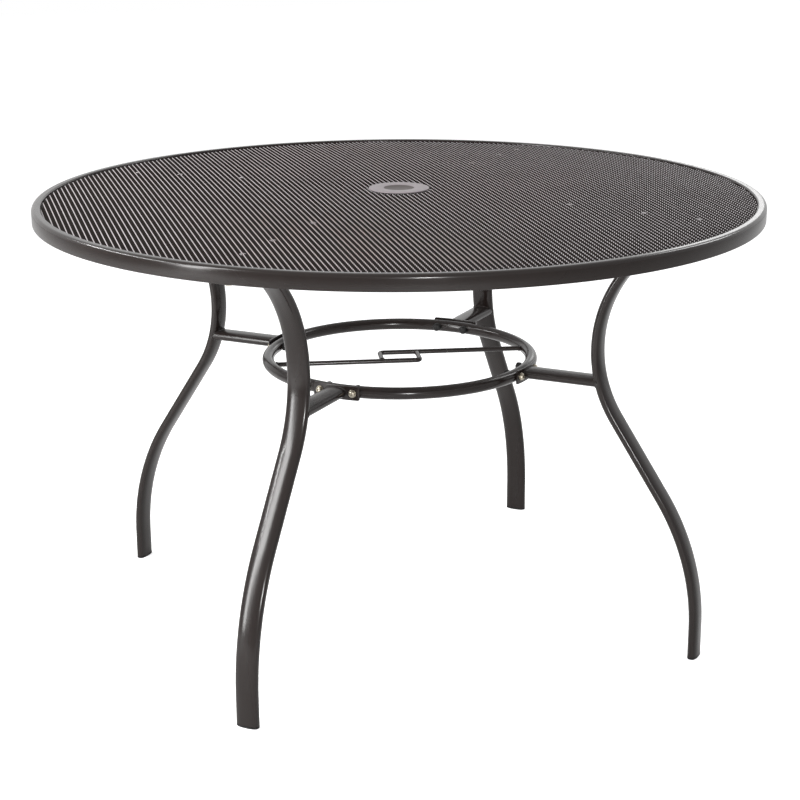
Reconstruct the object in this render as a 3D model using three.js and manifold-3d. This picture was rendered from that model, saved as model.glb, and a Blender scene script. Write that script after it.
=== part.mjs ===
// A round garden table with an umbrella hole: an expanded metal top held in a rolled rim,
// four S-shaped flat-oval legs bolted to a ring below the top, and a wire guide for the pole.
// Millimetres, +Z up. The origin is on the floor, under the centre of the top.
// The legs stand on the diagonals, at 45 degrees to X and Y. The long way of the diamonds runs
// nearly along X.

import * as THREE from 'three';
import { mergeVertices } from 'three/addons/utils/BufferGeometryUtils.js';
import Module from 'manifold-3d';

const wasm = await Module();
wasm.setup();

// General sizes
const clearance = 0.3;
const cut_overrun = 5;
const sheet_gap = 0.5;
const weld_distance = 0.0001;
const leg_count = 4;
const first_leg_angle = Math.PI / 4;
const large_round_sides = 60;
const ring_round_sides = 40;
const hub_round_sides = 24;
const fastener_sides = 8;
const bend_step = THREE.MathUtils.degToRad(9.5);

// The top
const top_diameter = 1200;
const table_height = 730;
const rim_height = 25;
const rim_width = 15;
const rim_wall = 1.5;
const rim_outer_round = 6;
const rim_inner_round = 3;
const rim_foot_lip = 7;
const rim_round_steps = 3;
const mesh_drop = 4.2;
const ledge_width = 12;
const ledge_lip_height = 13;
const mesh_thickness = 1.2;
const mesh_crown = 12.5;

// The diamonds of the net, drawn ten times as large as they are
const diamond_length = 162;
const diamond_width = 80;
const strand_width = 15;
const mesh_border = 24;
const mesh_turn = THREE.MathUtils.degToRad(-4.6);

// The umbrella hole
const sleeve_bore = 47;
const sleeve_wall = 3;
const sleeve_length = 34;
const flange_diameter = 100;
const flange_thickness = 2.5;
const flange_edge_round = 1;
const cap_diameter = 50;
const cap_thickness = 2;
const cap_wall = 1.5;
const cap_skirt = 10;

// The braces under the mesh
const brace_width = 20;
const brace_height = 12;
const brace_wall = 1.5;
const brace_steps = 6;

// The legs
const tube_width = 38;
const tube_thickness = 17;
const tube_wall = 1.2;
const foot_share = 0.895;
const waist_share = 0.592;
const foot_run = 50;
const lower_bend_radius = 385;
const upper_bend_radius = 206;
const crown_bend_share = 1.25;
const crown_turn = THREE.MathUtils.degToRad(56);
const leg_top_run = 38;
const leg_end_inset = 35;
const bend_spare_share = 0.02;
const tube_round_steps = 4;
const bore_round_steps = 2;

// Plastic plugs in the tube ends
const foot_thickness = 3.5;
const foot_spigot = 16;
const plug_thickness = 2.5;
const plug_spigot = 8;

// Screws that hold each leg to its brace
const leg_screw_diameter = 6;
const leg_screw_spacing = 26;
const leg_screw_head_diameter = 11;
const leg_screw_head_height = 3.5;

// The ring, its struts and saddle plates
const ring_share = 0.372;
const ring_height = 451;
const ring_tube_diameter = 20;
const ring_tube_wall = 1.5;
const ring_tube_sides = 10;
const ring_bore_sides = 6;
const saddle_length = 82;
const saddle_height = 23;
const saddle_thickness = 2.5;
const saddle_steps = 6;
const ring_bolt_spacing = 58;
const ring_bolt_diameter = 6;
const ring_bolt_head_diameter = 11;
const ring_bolt_head_height = 4;
const ring_bolt_washer_diameter = 13;
const ring_bolt_washer_thickness = 1.2;
const ring_nut_diameter = 14;
const ring_nut_height = 9;
const ring_nut_wall_depth = 5.5;
const bolt_end_length = 4.5;

// The wire guide for the umbrella pole
const wire_diameter = 8;
const guide_turn = THREE.MathUtils.degToRad(-13);
const guide_length = 64;
const guide_width = 54;
const wire_bend_radius = 7;
const wire_sides = 8;

// Sizes worked out from those above
const rim_radius = top_diameter / 2;
const rim_inner_radius = rim_radius - rim_width;
const ledge_radius = rim_inner_radius - ledge_width;
const foot_radius = rim_radius * foot_share;
const waist_radius = rim_radius * waist_share;
const ledge_top = table_height - mesh_drop - mesh_thickness - clearance;
const mesh_radius = rim_inner_radius - clearance;
const sleeve_radius = sleeve_bore / 2 + sleeve_wall;
const flange_radius = flange_diameter / 2;
const flange_bore_radius = cap_diameter / 2 + clearance;
const flange_bottom = meshBottom(0) + mesh_thickness + clearance;
const sleeve_top = flange_bottom - clearance;
const ring_radius = rim_radius * ring_share;
const ring_tube_radius = ring_tube_diameter / 2;
const saddle_inner_radius = ring_radius + ring_tube_radius + clearance;
const saddle_outer_radius = saddle_inner_radius + saddle_thickness;
const bolt_turn = Math.asin(ring_bolt_spacing / 2 / saddle_outer_radius);
const wire_radius = wire_diameter / 2;
const seat_radius = rim_radius - leg_end_inset - leg_top_run;
const seat_slope = Math.atan(2 * mesh_crown * seat_radius / mesh_radius ** 2);
const seat_turn = Math.PI / 2 + seat_slope;
const crown_bend_radius = (seat_radius - waist_radius) * crown_bend_share;
const crown_reach = crown_bend_radius * (1 - Math.cos(crown_turn));
const crown_rise = crown_bend_radius * Math.sin(crown_turn);
const shoulder_reach = seat_radius - waist_radius - crown_reach;
const shoulder_bend_radius = shoulder_reach / (Math.cos(crown_turn) - Math.cos(seat_turn));
const shoulder_rise = shoulder_bend_radius * (Math.sin(seat_turn) - Math.sin(crown_turn));
const seat_height = braceTop(seat_radius) - brace_height - clearance - tube_thickness / 2;
const waist_height = seat_height - crown_rise - shoulder_rise;

// Materials
const coat_dark = steel(0x3a3634, 0.42);
const coat_mesh = steel(0x4a4546, 0.38);
const coat_hub = steel(0x8f8a8b, 0.35);
const zinc = new THREE.MeshStandardMaterial({ color: 0xb9ad92, roughness: 0.35, metalness: 1 });
const black_plastic = new THREE.MeshStandardMaterial({ color: 0x161515, roughness: 0.5, metalness: 0 });
const grey_plastic = new THREE.MeshStandardMaterial({ color: 0x6f6b69, roughness: 0.5, metalness: 0 });

// A powder-coated steel.
function steel(color, roughness) {
  return new THREE.MeshStandardMaterial({ color, roughness, metalness: 0.3 });
}

// Height of the mesh's underside at a distance from the centre: a shallow dome.
function meshBottom(radius) {
  return ledge_top + clearance + mesh_crown * (1 - (radius / mesh_radius) ** 2);
}

// Height of a brace's top face, which follows the mesh.
function braceTop(radius) {
  return meshBottom(radius) - sheet_gap;
}

const table = new THREE.Group();

// Adds a named solid, turned about Z by an angle.
function place(name, geometry, material, angle = 0) {
  const mesh = new THREE.Mesh(geometry, material.clone());
  mesh.name = name;
  mesh.rotation.z = angle;
  table.add(mesh);
}

// A path in the XZ plane, made of straight runs and even bends, with a station at each step.
// Headings and turns are anticlockwise where X points right and Z points up.
class BentPath extends THREE.Curve {
  constructor(x, z, heading, runs) {
    super();
    this.stations = [{ x, z, heading }];
    for (const { length, turn, steps } of runs) {
      for (let i = 0; i < steps; i += 1) {
        this.addStation(length / steps, turn / steps);
      }
    }
    this.steps = this.stations.length - 1;
  }

  addStation(length, turn) {
    const { x, z, heading } = this.stations.at(-1);
    const chord = turn === 0 ? length : 2 * length / turn * Math.sin(turn / 2);
    const middle = heading + turn / 2;
    this.stations.push({
      x: x + chord * Math.cos(middle),
      z: z + chord * Math.sin(middle),
      heading: heading + turn,
    });
  }

  getPointAt(u, target = new THREE.Vector3()) {
    const { x, z } = this.stations[Math.round(u * this.steps)];
    return target.set(x, 0, z);
  }

  // A section's X runs along the table's Y, and its Y lies in the path's plane.
  computeFrenetFrames() {
    const tangents = this.stations.map(({ heading }) => (
      new THREE.Vector3(Math.cos(heading), 0, Math.sin(heading))
    ));
    const normals = tangents.map(() => new THREE.Vector3(0, 1, 0));
    const binormals = tangents.map((tangent, i) => tangent.clone().cross(normals[i]));
    return { tangents, normals, binormals };
  }
}

function straight(length) {
  return { length, turn: 0, steps: 1 };
}

function bend(radius, turn) {
  return { length: radius * Math.abs(turn), turn, steps: Math.ceil(Math.abs(turn) / bend_step) };
}

// Points of an arc in a profile, both ends included.
function arc(x, y, radius, from, to, steps) {
  return Array.from({ length: steps + 1 }, (_, i) => {
    const angle = from + (to - from) * i / steps;
    return new THREE.Vector2(x + radius * Math.cos(angle), y + radius * Math.sin(angle));
  });
}

function point(x, y) {
  return new THREE.Vector2(x, y);
}

// A profile of radius and height, turned round the Z axis.
function turned(profile, sides) {
  const closed = profile.at(0).equals(profile.at(-1)) || profile.at(0).x === 0;
  const geometry = new THREE.LatheGeometry(closed ? profile : [...profile, profile[0]], sides);
  return outward(geometry.rotateX(Math.PI / 2));
}

// A section carried along a path.
function alongPath(section, path) {
  const settings = { steps: path.steps, extrudePath: path, bevelEnabled: false };
  return outward(new THREE.ExtrudeGeometry(section, settings));
}

// Merges shared corners, drops triangles that shrank to a line at the axis, and turns the faces
// outwards where the volume came out negative.
function outward(geometry) {
  geometry.deleteAttribute('normal');
  geometry.deleteAttribute('uv');
  const merged = mergeVertices(geometry, weld_distance);
  const corners = merged.index.array;
  const at = (i) => new THREE.Vector3().fromBufferAttribute(merged.attributes.position, i);
  const triangles = [];
  let volume = 0;
  for (let i = 0; i < corners.length; i += 3) {
    const [a, b, c] = corners.slice(i, i + 3);
    if (a !== b && b !== c && c !== a) {
      triangles.push([a, b, c]);
      volume += at(a).dot(at(b).cross(at(c)));
    }
  }
  merged.setIndex(triangles.flatMap(([a, b, c]) => (volume < 0 ? [b, a, c] : [a, b, c])));
  return merged;
}

// Three.js geometry to a solid that can be cut, and back.
function toSolid(geometry) {
  const vertProperties = Float32Array.from(geometry.attributes.position.array);
  const triVerts = Uint32Array.from(geometry.index.array);
  return new wasm.Manifold(new wasm.Mesh({ numProp: 3, vertProperties, triVerts }));
}

function toGeometry(solid) {
  const mesh = solid.getMesh();
  const geometry = new THREE.BufferGeometry();
  geometry.setAttribute('position', new THREE.BufferAttribute(mesh.vertProperties, mesh.numProp));
  geometry.setIndex(new THREE.BufferAttribute(mesh.triVerts, 1));
  return geometry;
}

function cut(geometry, ...cutters) {
  return toGeometry(cutters.reduce((solid, cutter) => solid.subtract(toSolid(cutter)), toSolid(geometry)));
}

// Corners of a flat oval, such as a tube's outline, grown or shrunk by an offset.
function ovalOutline(width, thickness, offset, steps = tube_round_steps) {
  const radius = thickness / 2 + offset;
  const reach = (width - thickness) / 2;
  const quarter = Math.PI / 2;
  return [
    ...arc(reach, 0, radius, -quarter, quarter, steps),
    ...arc(-reach, 0, radius, quarter, 3 * quarter, steps),
  ];
}

// The hollow section of the leg and strut tubes.
function ovalTube() {
  const section = new THREE.Shape(ovalOutline(tube_width, tube_thickness, 0));
  const bore = ovalOutline(tube_width, tube_thickness, -tube_wall, bore_round_steps);
  section.holes.push(new THREE.Path(bore));
  return section;
}

// A cylinder along X from one distance to another, at a height.
function rodAlongX(radius, from, to, height) {
  const rod = new THREE.CylinderGeometry(radius, radius, Math.abs(to - from), fastener_sides);
  return outward(rod.rotateZ(Math.PI / 2).translate((from + to) / 2, 0, height));
}

// A cylinder along Z at a distance from the centre.
function rodAlongZ(radius, from, to, distance, sides = fastener_sides) {
  const rod = new THREE.CylinderGeometry(radius, radius, Math.abs(to - from), sides);
  return outward(rod.rotateX(Math.PI / 2).translate(distance, 0, (from + to) / 2));
}

// A fastener turned about its own axis from a profile of radius and depth, pointing along +X.
function fastener(profile, x, height) {
  const geometry = turned(profile, fastener_sides).rotateY(Math.PI / 2);
  return geometry.translate(x, 0, height);
}

// The rim: a rolled sheet with a rounded shoulder, a ledge that carries the mesh and a lip below it.
function topRim() {
  const bottom = table_height - rim_height;
  const outer_round_x = rim_radius - rim_outer_round;
  const outer_round_z = table_height - rim_outer_round;
  const inner_round_x = rim_inner_radius + rim_inner_round;
  const inner_round_z = table_height - rim_inner_round;
  const ledge_bottom = ledge_top - rim_wall;
  const inner_round = rim_inner_round - rim_wall;
  const outer_round = rim_outer_round - rim_wall;
  return turned([
    point(rim_radius - rim_foot_lip, bottom),
    point(rim_radius, bottom),
    ...arc(outer_round_x, outer_round_z, rim_outer_round, 0, Math.PI / 2, rim_round_steps),
    ...arc(inner_round_x, inner_round_z, rim_inner_round, Math.PI / 2, Math.PI, 1),
    point(rim_inner_radius, ledge_top),
    point(ledge_radius, ledge_top),
    point(ledge_radius, ledge_top - ledge_lip_height),
    point(ledge_radius + rim_wall, ledge_top - ledge_lip_height),
    point(ledge_radius + rim_wall, ledge_bottom),
    point(rim_inner_radius + rim_wall, ledge_bottom),
    ...arc(inner_round_x, inner_round_z, inner_round, Math.PI, Math.PI / 2, 1),
    ...arc(outer_round_x, outer_round_z, outer_round, Math.PI / 2, 0, rim_round_steps - 1),
    point(rim_radius - rim_wall, bottom + rim_wall),
    point(rim_radius - rim_foot_lip, bottom + rim_wall),
  ], large_round_sides);
}

// A flat plate between two heights, from triangles given by their corners in X and Y.
function plateOf(triangles, thickness) {
  const positions = [];
  const edges = new Map();
  const key = (corner) => `${corner.x.toFixed(3)},${corner.y.toFixed(3)}`;
  const lift = (corner, z) => positions.push(corner.x, corner.y, z);
  for (const [a, b, c] of triangles) {
    [a, b, c].forEach((corner) => lift(corner, thickness));
    [a, c, b].forEach((corner) => lift(corner, 0));
    for (const [from, to] of [[a, b], [b, c], [c, a]]) {
      const twin = `${key(to)} ${key(from)}`;
      if (!edges.delete(twin)) {
        edges.set(`${key(from)} ${key(to)}`, [from, to]);
      }
    }
  }
  for (const [from, to] of edges.values()) {
    [[from, 0], [to, 0], [to, thickness]].forEach(([corner, z]) => lift(corner, z));
    [[from, 0], [to, thickness], [from, thickness]].forEach(([corner, z]) => lift(corner, z));
  }
  const geometry = new THREE.BufferGeometry();
  geometry.setAttribute('position', new THREE.Float32BufferAttribute(positions, 3));
  return mergeVertices(geometry, weld_distance);
}

// The net as a flat sheet of crossing strands: a lozenge where strands meet, and the strands between.
// The long way of the diamonds runs along X, so the lozenges stand in rows along Y.
function strandTriangles() {
  const triangles = [];
  const half_width = (diamond_width - strand_width) / 2;
  const half_length = half_width * diamond_length / diamond_width;
  const columns = 2 * Math.ceil(rim_radius / diamond_length) + 1;
  const rows = Math.ceil(rim_radius / diamond_width) + 1;
  const quad = (a, b, c, d) => triangles.push([a, b, c], [a, c, d]);
  for (let column = -columns; column <= columns; column += 1) {
    for (let row = -rows; row <= rows; row += 1) {
      const x = column * diamond_length / 2;
      const y = (row + (column % 2 === 0 ? 0 : 1 / 2)) * diamond_width;
      const corner = (dx, dy, side_x, side_y) => point(
        x + dx * diamond_length / 2 + side_x * half_length,
        y + dy * diamond_width / 2 + side_y * half_width,
      );
      const east = corner(0, 0, 1, 0);
      const north = corner(0, 0, 0, 1);
      const south = corner(0, 0, 0, -1);
      const upper_west = corner(1, 1, -1, 0);
      const upper_south = corner(1, 1, 0, -1);
      const lower_west = corner(1, -1, -1, 0);
      const lower_north = corner(1, -1, 0, 1);
      quad(north, east, upper_south, upper_west);
      quad(east, south, lower_west, lower_north);
      quad(east, lower_north, corner(2, 0, -1, 0), upper_south);
    }
  }
  return triangles;
}

// A flat disc of the sheet's thickness, with or without a hole.
function flatDisc(radius, hole, sides) {
  const outer = [point(radius, 0), point(radius, mesh_thickness)];
  return toSolid(turned([point(hole, 0), ...outer, point(hole, mesh_thickness)], sides));
}

// The mesh: a thin domed net in a solid border, with a round hole for the sleeve.
function meshPanel() {
  const net_radius = mesh_radius - mesh_border;
  const hub = flatDisc(flange_radius, 0, hub_round_sides);
  const bore = rodAlongZ(sleeve_radius + clearance, -cut_overrun, cut_overrun, 0, hub_round_sides);
  const net = toSolid(plateOf(strandTriangles(), mesh_thickness).rotateZ(mesh_turn))
    .intersect(flatDisc(net_radius + strand_width / 2, 0, large_round_sides))
    .add(flatDisc(mesh_radius, net_radius, large_round_sides))
    .add(hub)
    .subtract(toSolid(bore));
  const geometry = toGeometry(net);
  const position = geometry.attributes.position;
  for (let i = 0; i < position.count; i += 1) {
    const radius = Math.hypot(position.getX(i), position.getY(i));
    position.setZ(i, position.getZ(i) + meshBottom(radius));
  }
  return geometry;
}

// The flat ring round the umbrella hole.
function umbrellaRing() {
  const top = flange_bottom + flange_thickness;
  return turned([
    point(flange_bore_radius, flange_bottom),
    point(flange_radius, flange_bottom),
    point(flange_radius, top - flange_edge_round),
    point(flange_radius - flange_edge_round, top),
    point(flange_bore_radius, top),
  ], hub_round_sides);
}

// The tube under the ring, where the braces meet and the pole goes through.
function umbrellaSleeve() {
  return turned([
    point(sleeve_radius - sleeve_wall, sleeve_top - sleeve_length),
    point(sleeve_radius, sleeve_top - sleeve_length),
    point(sleeve_radius, sleeve_top),
    point(sleeve_radius - sleeve_wall, sleeve_top),
  ], hub_round_sides);
}

// The cap that closes the hole: a disc that sits on the sleeve, with a skirt inside it.
function holeCap() {
  const bottom = sleeve_top + clearance;
  const skirt_radius = sleeve_bore / 2 - clearance;
  return turned([
    point(0, bottom),
    point(skirt_radius - cap_wall, bottom),
    point(skirt_radius - cap_wall, bottom - cap_skirt),
    point(skirt_radius, bottom - cap_skirt),
    point(skirt_radius, bottom),
    point(cap_diameter / 2, bottom),
    point(cap_diameter / 2, bottom + cap_thickness),
    point(0, bottom + cap_thickness),
  ], hub_round_sides);
}

// Distances from the centre of the screws that join a leg to its brace.
function legScrewDistances() {
  const middle = seat_radius + leg_top_run / 2 - leg_screw_spacing / 4;
  return [middle - leg_screw_spacing / 2, middle + leg_screw_spacing / 2];
}

// A brace: a rectangular tube from the sleeve to the rim's lip, bent to follow the mesh.
function underBrace() {
  const inner = sleeve_radius + clearance;
  const outer = ledge_radius * Math.cos(Math.PI / large_round_sides) - clearance;
  const stations = Array.from({ length: brace_steps + 1 }, (_, i) => inner + (outer - inner) * i / brace_steps);
  const upper = stations.map((x) => point(x, braceTop(x)));
  const outline = (top, bottom) => {
    const high = upper.map(({ x, y }) => point(x, y - top));
    const low = upper.map(({ x, y }) => point(x, y - bottom)).reverse();
    return new THREE.Shape([...high, ...low]);
  };
  const bar = sideways(outline(0, brace_height), brace_width);
  const bore = sideways(outline(brace_wall, brace_height - brace_wall), brace_width - 2 * brace_wall);
  const holes = legScrewDistances().map((distance) => {
    const middle = braceTop(distance) - brace_height;
    const radius = leg_screw_diameter / 2 + clearance;
    return rodAlongZ(radius, middle - cut_overrun, middle + brace_height / 2, distance);
  });
  return cut(bar, stretchedAlongX(bore, inner, outer), ...holes);
}

// A shape drawn in X and Z, extruded evenly to both sides of Y = 0.
function sideways(shape, width) {
  const geometry = new THREE.ExtrudeGeometry(shape, { depth: width, bevelEnabled: false });
  return outward(geometry.translate(0, 0, -width / 2).rotateX(Math.PI / 2));
}

// Moves a bore's two end faces outwards, so that it opens both ends of its bar.
function stretchedAlongX(geometry, low, high) {
  const position = geometry.attributes.position;
  for (let i = 0; i < position.count; i += 1) {
    const x = position.getX(i);
    const at_low = Math.abs(x - low) < clearance;
    const at_high = Math.abs(x - high) < clearance;
    position.setX(i, x - (at_low ? cut_overrun : 0) + (at_high ? cut_overrun : 0));
  }
  return geometry;
}

// The leg's centre line in its own upright plane, from the foot up to the run under the brace.
// The slanting run touches both lower bends, which shrink alike where the leg is too low for them.
// Above the waist a wide bend leads into the tighter shoulder.
function legPath() {
  const base = foot_thickness + clearance;
  const rise = waist_height - base - foot_run;
  const reach = foot_radius - waist_radius;
  const room = (rise ** 2 + reach ** 2) / (2 * reach);
  const fit = Math.min(1, room / (lower_bend_radius + upper_bend_radius) - bend_spare_share);
  const lower = lower_bend_radius * fit;
  const upper = upper_bend_radius * fit;
  const slant = Math.sqrt(rise ** 2 + reach ** 2 - 2 * reach * (lower + upper));
  const lean = Math.atan2(rise, lower + upper - reach) - Math.atan2(slant, lower + upper);
  return new BentPath(foot_radius, base, Math.PI / 2, [
    straight(foot_run),
    bend(lower, lean),
    straight(slant),
    bend(upper, -lean),
    bend(crown_bend_radius, -crown_turn),
    bend(shoulder_bend_radius, crown_turn - seat_turn),
    straight(leg_top_run),
  ]);
}

const leg_path = legPath();

// Distance of the leg's centre line from the table's axis at a height.
function legRadiusAt(height) {
  const above = leg_path.stations.findIndex(({ z }) => z > height);
  const [low, high] = leg_path.stations.slice(above - 1, above + 1);
  return low.x + (high.x - low.x) * (height - low.z) / (high.z - low.z);
}

// The place and direction of the leg's upper end.
function legEnd() {
  const x = seat_radius + leg_top_run * Math.cos(seat_slope);
  return { x, z: seat_height - leg_top_run * Math.sin(seat_slope) };
}

function leg() {
  const holes = legScrewDistances().map((distance) => {
    const reach = tube_thickness + cut_overrun;
    return rodAlongZ(leg_screw_diameter / 2 + clearance, seat_height - reach, seat_height + reach, distance);
  });
  return cut(alongPath(ovalTube(), leg_path), ...holes);
}

// The leg's outside grown by the clearance, to cut the strut's end to its shape.
function legCutter() {
  const section = new THREE.Shape(ovalOutline(tube_width, tube_thickness, clearance));
  return alongPath(section, leg_path);
}

// A plug: a plate across the tube's end and a spigot inside it, standing on its plate.
function endPlug(plate, depth) {
  const draw = (outline, length) => {
    const settings = { depth: length, bevelEnabled: false };
    return outward(new THREE.ExtrudeGeometry(new THREE.Shape(outline), settings));
  };
  const base = draw(ovalOutline(tube_width, tube_thickness, 0), plate);
  const fit = -tube_wall - clearance;
  const spigot = draw(ovalOutline(tube_width, tube_thickness, fit, bore_round_steps), plate + depth);
  return toGeometry(toSolid(base).add(toSolid(spigot))).rotateZ(Math.PI / 2);
}

function footCap() {
  return endPlug(foot_thickness, foot_spigot).translate(foot_radius, 0, 0);
}

function legEndPlug() {
  const end = legEnd();
  const run = plug_thickness + clearance;
  const geometry = endPlug(plug_thickness, plug_spigot).rotateY(-Math.PI / 2 + seat_slope);
  return geometry.translate(end.x + run * Math.cos(seat_slope), 0, end.z - run * Math.sin(seat_slope));
}

// A screw from below, through the leg and into the brace.
function legScrew(distance) {
  const slope_drop = (distance - seat_radius) * Math.tan(seat_slope);
  const head_top = seat_height - slope_drop - tube_thickness / 2 - clearance - screwTilt();
  const tip = braceTop(distance) - brace_height / 2;
  const shank = rodAlongZ(leg_screw_diameter / 2, head_top - leg_screw_head_height / 2, tip, distance);
  const head = rodAlongZ(leg_screw_head_diameter / 2, head_top - leg_screw_head_height, head_top, distance);
  return toGeometry(toSolid(shank).add(toSolid(head)));
}

// How far the leg's sloping underside falls across half a screw head.
function screwTilt() {
  return leg_screw_head_diameter / 2 * Math.tan(seat_slope);
}

// A round bar of a given thickness, bent to the ring's circle.
function ringOf(radius, sides) {
  const section = arc(ring_radius, ring_height, radius, 0, 2 * Math.PI, sides).slice(0, -1);
  return turned(section, ring_round_sides);
}

// Steel tube bent to a ring, drilled for the bolts.
function frameRing() {
  const tube = ringOf(ring_tube_radius, ring_tube_sides);
  const bore = ringOf(ring_tube_radius - ring_tube_wall, ring_bore_sides);
  const holes = [];
  for (const turn of ringBoltTurns()) {
    const radius = ring_bolt_diameter / 2 + clearance;
    const from = ring_radius - ring_tube_radius - cut_overrun;
    const to = ring_radius + ring_tube_radius + cut_overrun;
    holes.push(rodAlongX(radius, from, to, ring_height).rotateZ(turn));
  }
  return cut(tube, bore, ...holes);
}

function legAngles() {
  return Array.from({ length: leg_count }, (_, i) => first_leg_angle + i * 2 * Math.PI / leg_count);
}

function ringBoltTurns() {
  return legAngles().flatMap((angle) => [angle - bolt_turn, angle + bolt_turn]);
}

// The curved plate that hugs the ring's outside, with its two bolt holes.
function saddlePlate() {
  const half = saddle_length / 2 / saddle_outer_radius;
  const outline = [
    ...arc(0, 0, saddle_outer_radius, -half, half, saddle_steps),
    ...arc(0, 0, saddle_inner_radius, half, -half, saddle_steps),
  ];
  const settings = { depth: saddle_height, bevelEnabled: false };
  const plate = new THREE.ExtrudeGeometry(new THREE.Shape(outline), settings);
  plate.translate(0, 0, ring_height - saddle_height / 2);
  const holes = [-bolt_turn, bolt_turn].map((turn) => {
    const from = saddle_inner_radius - cut_overrun;
    const to = saddle_outer_radius + cut_overrun;
    return rodAlongX(ring_bolt_diameter / 2 + clearance, from, to, ring_height).rotateZ(turn);
  });
  return cut(outward(plate), ...holes);
}

// A strut: a flat-oval tube laid flat from the saddle plate to the leg, coped round the leg.
function strut() {
  const from = saddle_outer_radius + clearance;
  const path = new BentPath(from, ring_height, 0, [straight(legRadiusAt(ring_height) - from)]);
  return cut(alongPath(ovalTube(), path), legCutter());
}

// A bolt through saddle plate and ring: washer and round head outside, shank to the nut.
function ringBolt() {
  const radius = ring_bolt_diameter / 2;
  const head = ring_bolt_head_diameter / 2;
  const washer = ring_bolt_washer_diameter / 2;
  const washer_top = ring_bolt_washer_thickness;
  const top = washer_top + ring_bolt_head_height;
  const tip = -saddle_thickness - ring_tube_diameter - 2 * clearance - bolt_end_length;
  const profile = [
    point(0, tip),
    point(radius, tip),
    point(radius, 0),
    point(washer, 0),
    point(washer, washer_top),
    point(head, washer_top),
    point(head, top - ring_bolt_head_height / 3),
    point(head * 2 / 3, top),
    point(0, top),
  ];
  return fastener(profile, saddle_outer_radius + clearance, ring_height);
}

// Where a flat nut touches the ring's inner side, which is hollow towards it and faceted.
function nutSeat() {
  const inside = (ring_radius - ring_tube_radius) * Math.cos(Math.PI / ring_round_sides);
  return Math.sqrt(inside ** 2 - (ring_nut_diameter / 2) ** 2) - clearance;
}

// A domed nut on the ring's inner side, with its blind hole over the bolt's end.
function ringNut() {
  const radius = ring_nut_diameter / 2;
  const hole = ring_bolt_diameter / 2 + clearance;
  const dome = ring_nut_height - ring_nut_wall_depth;
  const profile = [
    point(0, -bolt_end_length - 2 * clearance),
    point(hole, -bolt_end_length - 2 * clearance),
    point(hole, 0),
    point(radius, 0),
    point(radius, -ring_nut_wall_depth),
    point(radius * 3 / 4, -ring_nut_wall_depth - dome * 2 / 3),
    point(0, -ring_nut_height),
  ];
  return fastener(profile, nutSeat(), ring_height);
}

// One wire of the pole guide: straight in from the ring, a bend, and a short side to the other wire.
function guideWire() {
  const side = guide_width / 2;
  const begin = -ring_radius;
  const long_run = guide_length / 2 - wire_bend_radius - begin;
  const short_run = guide_width - wire_bend_radius - wire_radius - clearance;
  const path = new BentPath(begin, -side, 0, [
    straight(long_run),
    bend(wire_bend_radius, Math.PI / 2),
    straight(short_run),
  ]);
  const section = new THREE.Shape(arc(0, 0, wire_radius, 0, 2 * Math.PI, wire_sides).slice(0, -1));
  const wire = alongPath(section, path).rotateX(-Math.PI / 2).translate(0, 0, ring_height);
  return cut(wire, ringOf(ring_tube_radius + clearance, ring_tube_sides).rotateZ(-guide_turn));
}

place('top_rim', topRim(), coat_dark);
place('mesh_panel', meshPanel(), coat_mesh);
place('umbrella_ring', umbrellaRing(), coat_hub);
place('umbrella_sleeve', umbrellaSleeve(), coat_dark);
place('hole_cap', holeCap(), grey_plastic);
place('frame_ring', frameRing(), coat_dark);

legAngles().forEach((angle, i) => {
  const number = i + 1;
  place(`under_brace_${number}`, underBrace(), coat_dark, angle);
  place(`leg_${number}`, leg(), coat_dark, angle);
  place(`strut_${number}`, strut(), coat_dark, angle);
  place(`saddle_plate_${number}`, saddlePlate(), coat_dark, angle);
  place(`foot_cap_${number}`, footCap(), black_plastic, angle);
  place(`leg_end_plug_${number}`, legEndPlug(), black_plastic, angle);
  legScrewDistances().forEach((distance, j) => {
    place(`leg_screw_${2 * i + j + 1}`, legScrew(distance), zinc, angle);
  });
});

ringBoltTurns().forEach((angle, i) => {
  place(`ring_bolt_${i + 1}`, ringBolt(), zinc, angle);
  place(`ring_nut_${i + 1}`, ringNut(), black_plastic, angle);
});

[0, Math.PI].forEach((turn, i) => {
  place(`guide_wire_${i + 1}`, guideWire(), coat_dark, guide_turn + turn);
});

export default table;
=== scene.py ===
"""Umbrella table: smooth surfaces and finishes around the packed frame.

A round garden table with a domed top of expanded metal, a capped umbrella hole, four curved legs of
flat-oval tube and a bolted ring with a wire guide for the pole. Everything is in metres, in the
frame of the packed part: +Z up, the origin on the floor under the centre of the top.
"""

import math

import bpy
import numpy as np
from bpy.props import FloatProperty, FloatVectorProperty, IntProperty, PointerProperty
from bpy.types import Operator, Panel, PropertyGroup
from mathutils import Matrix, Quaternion, Vector


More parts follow.
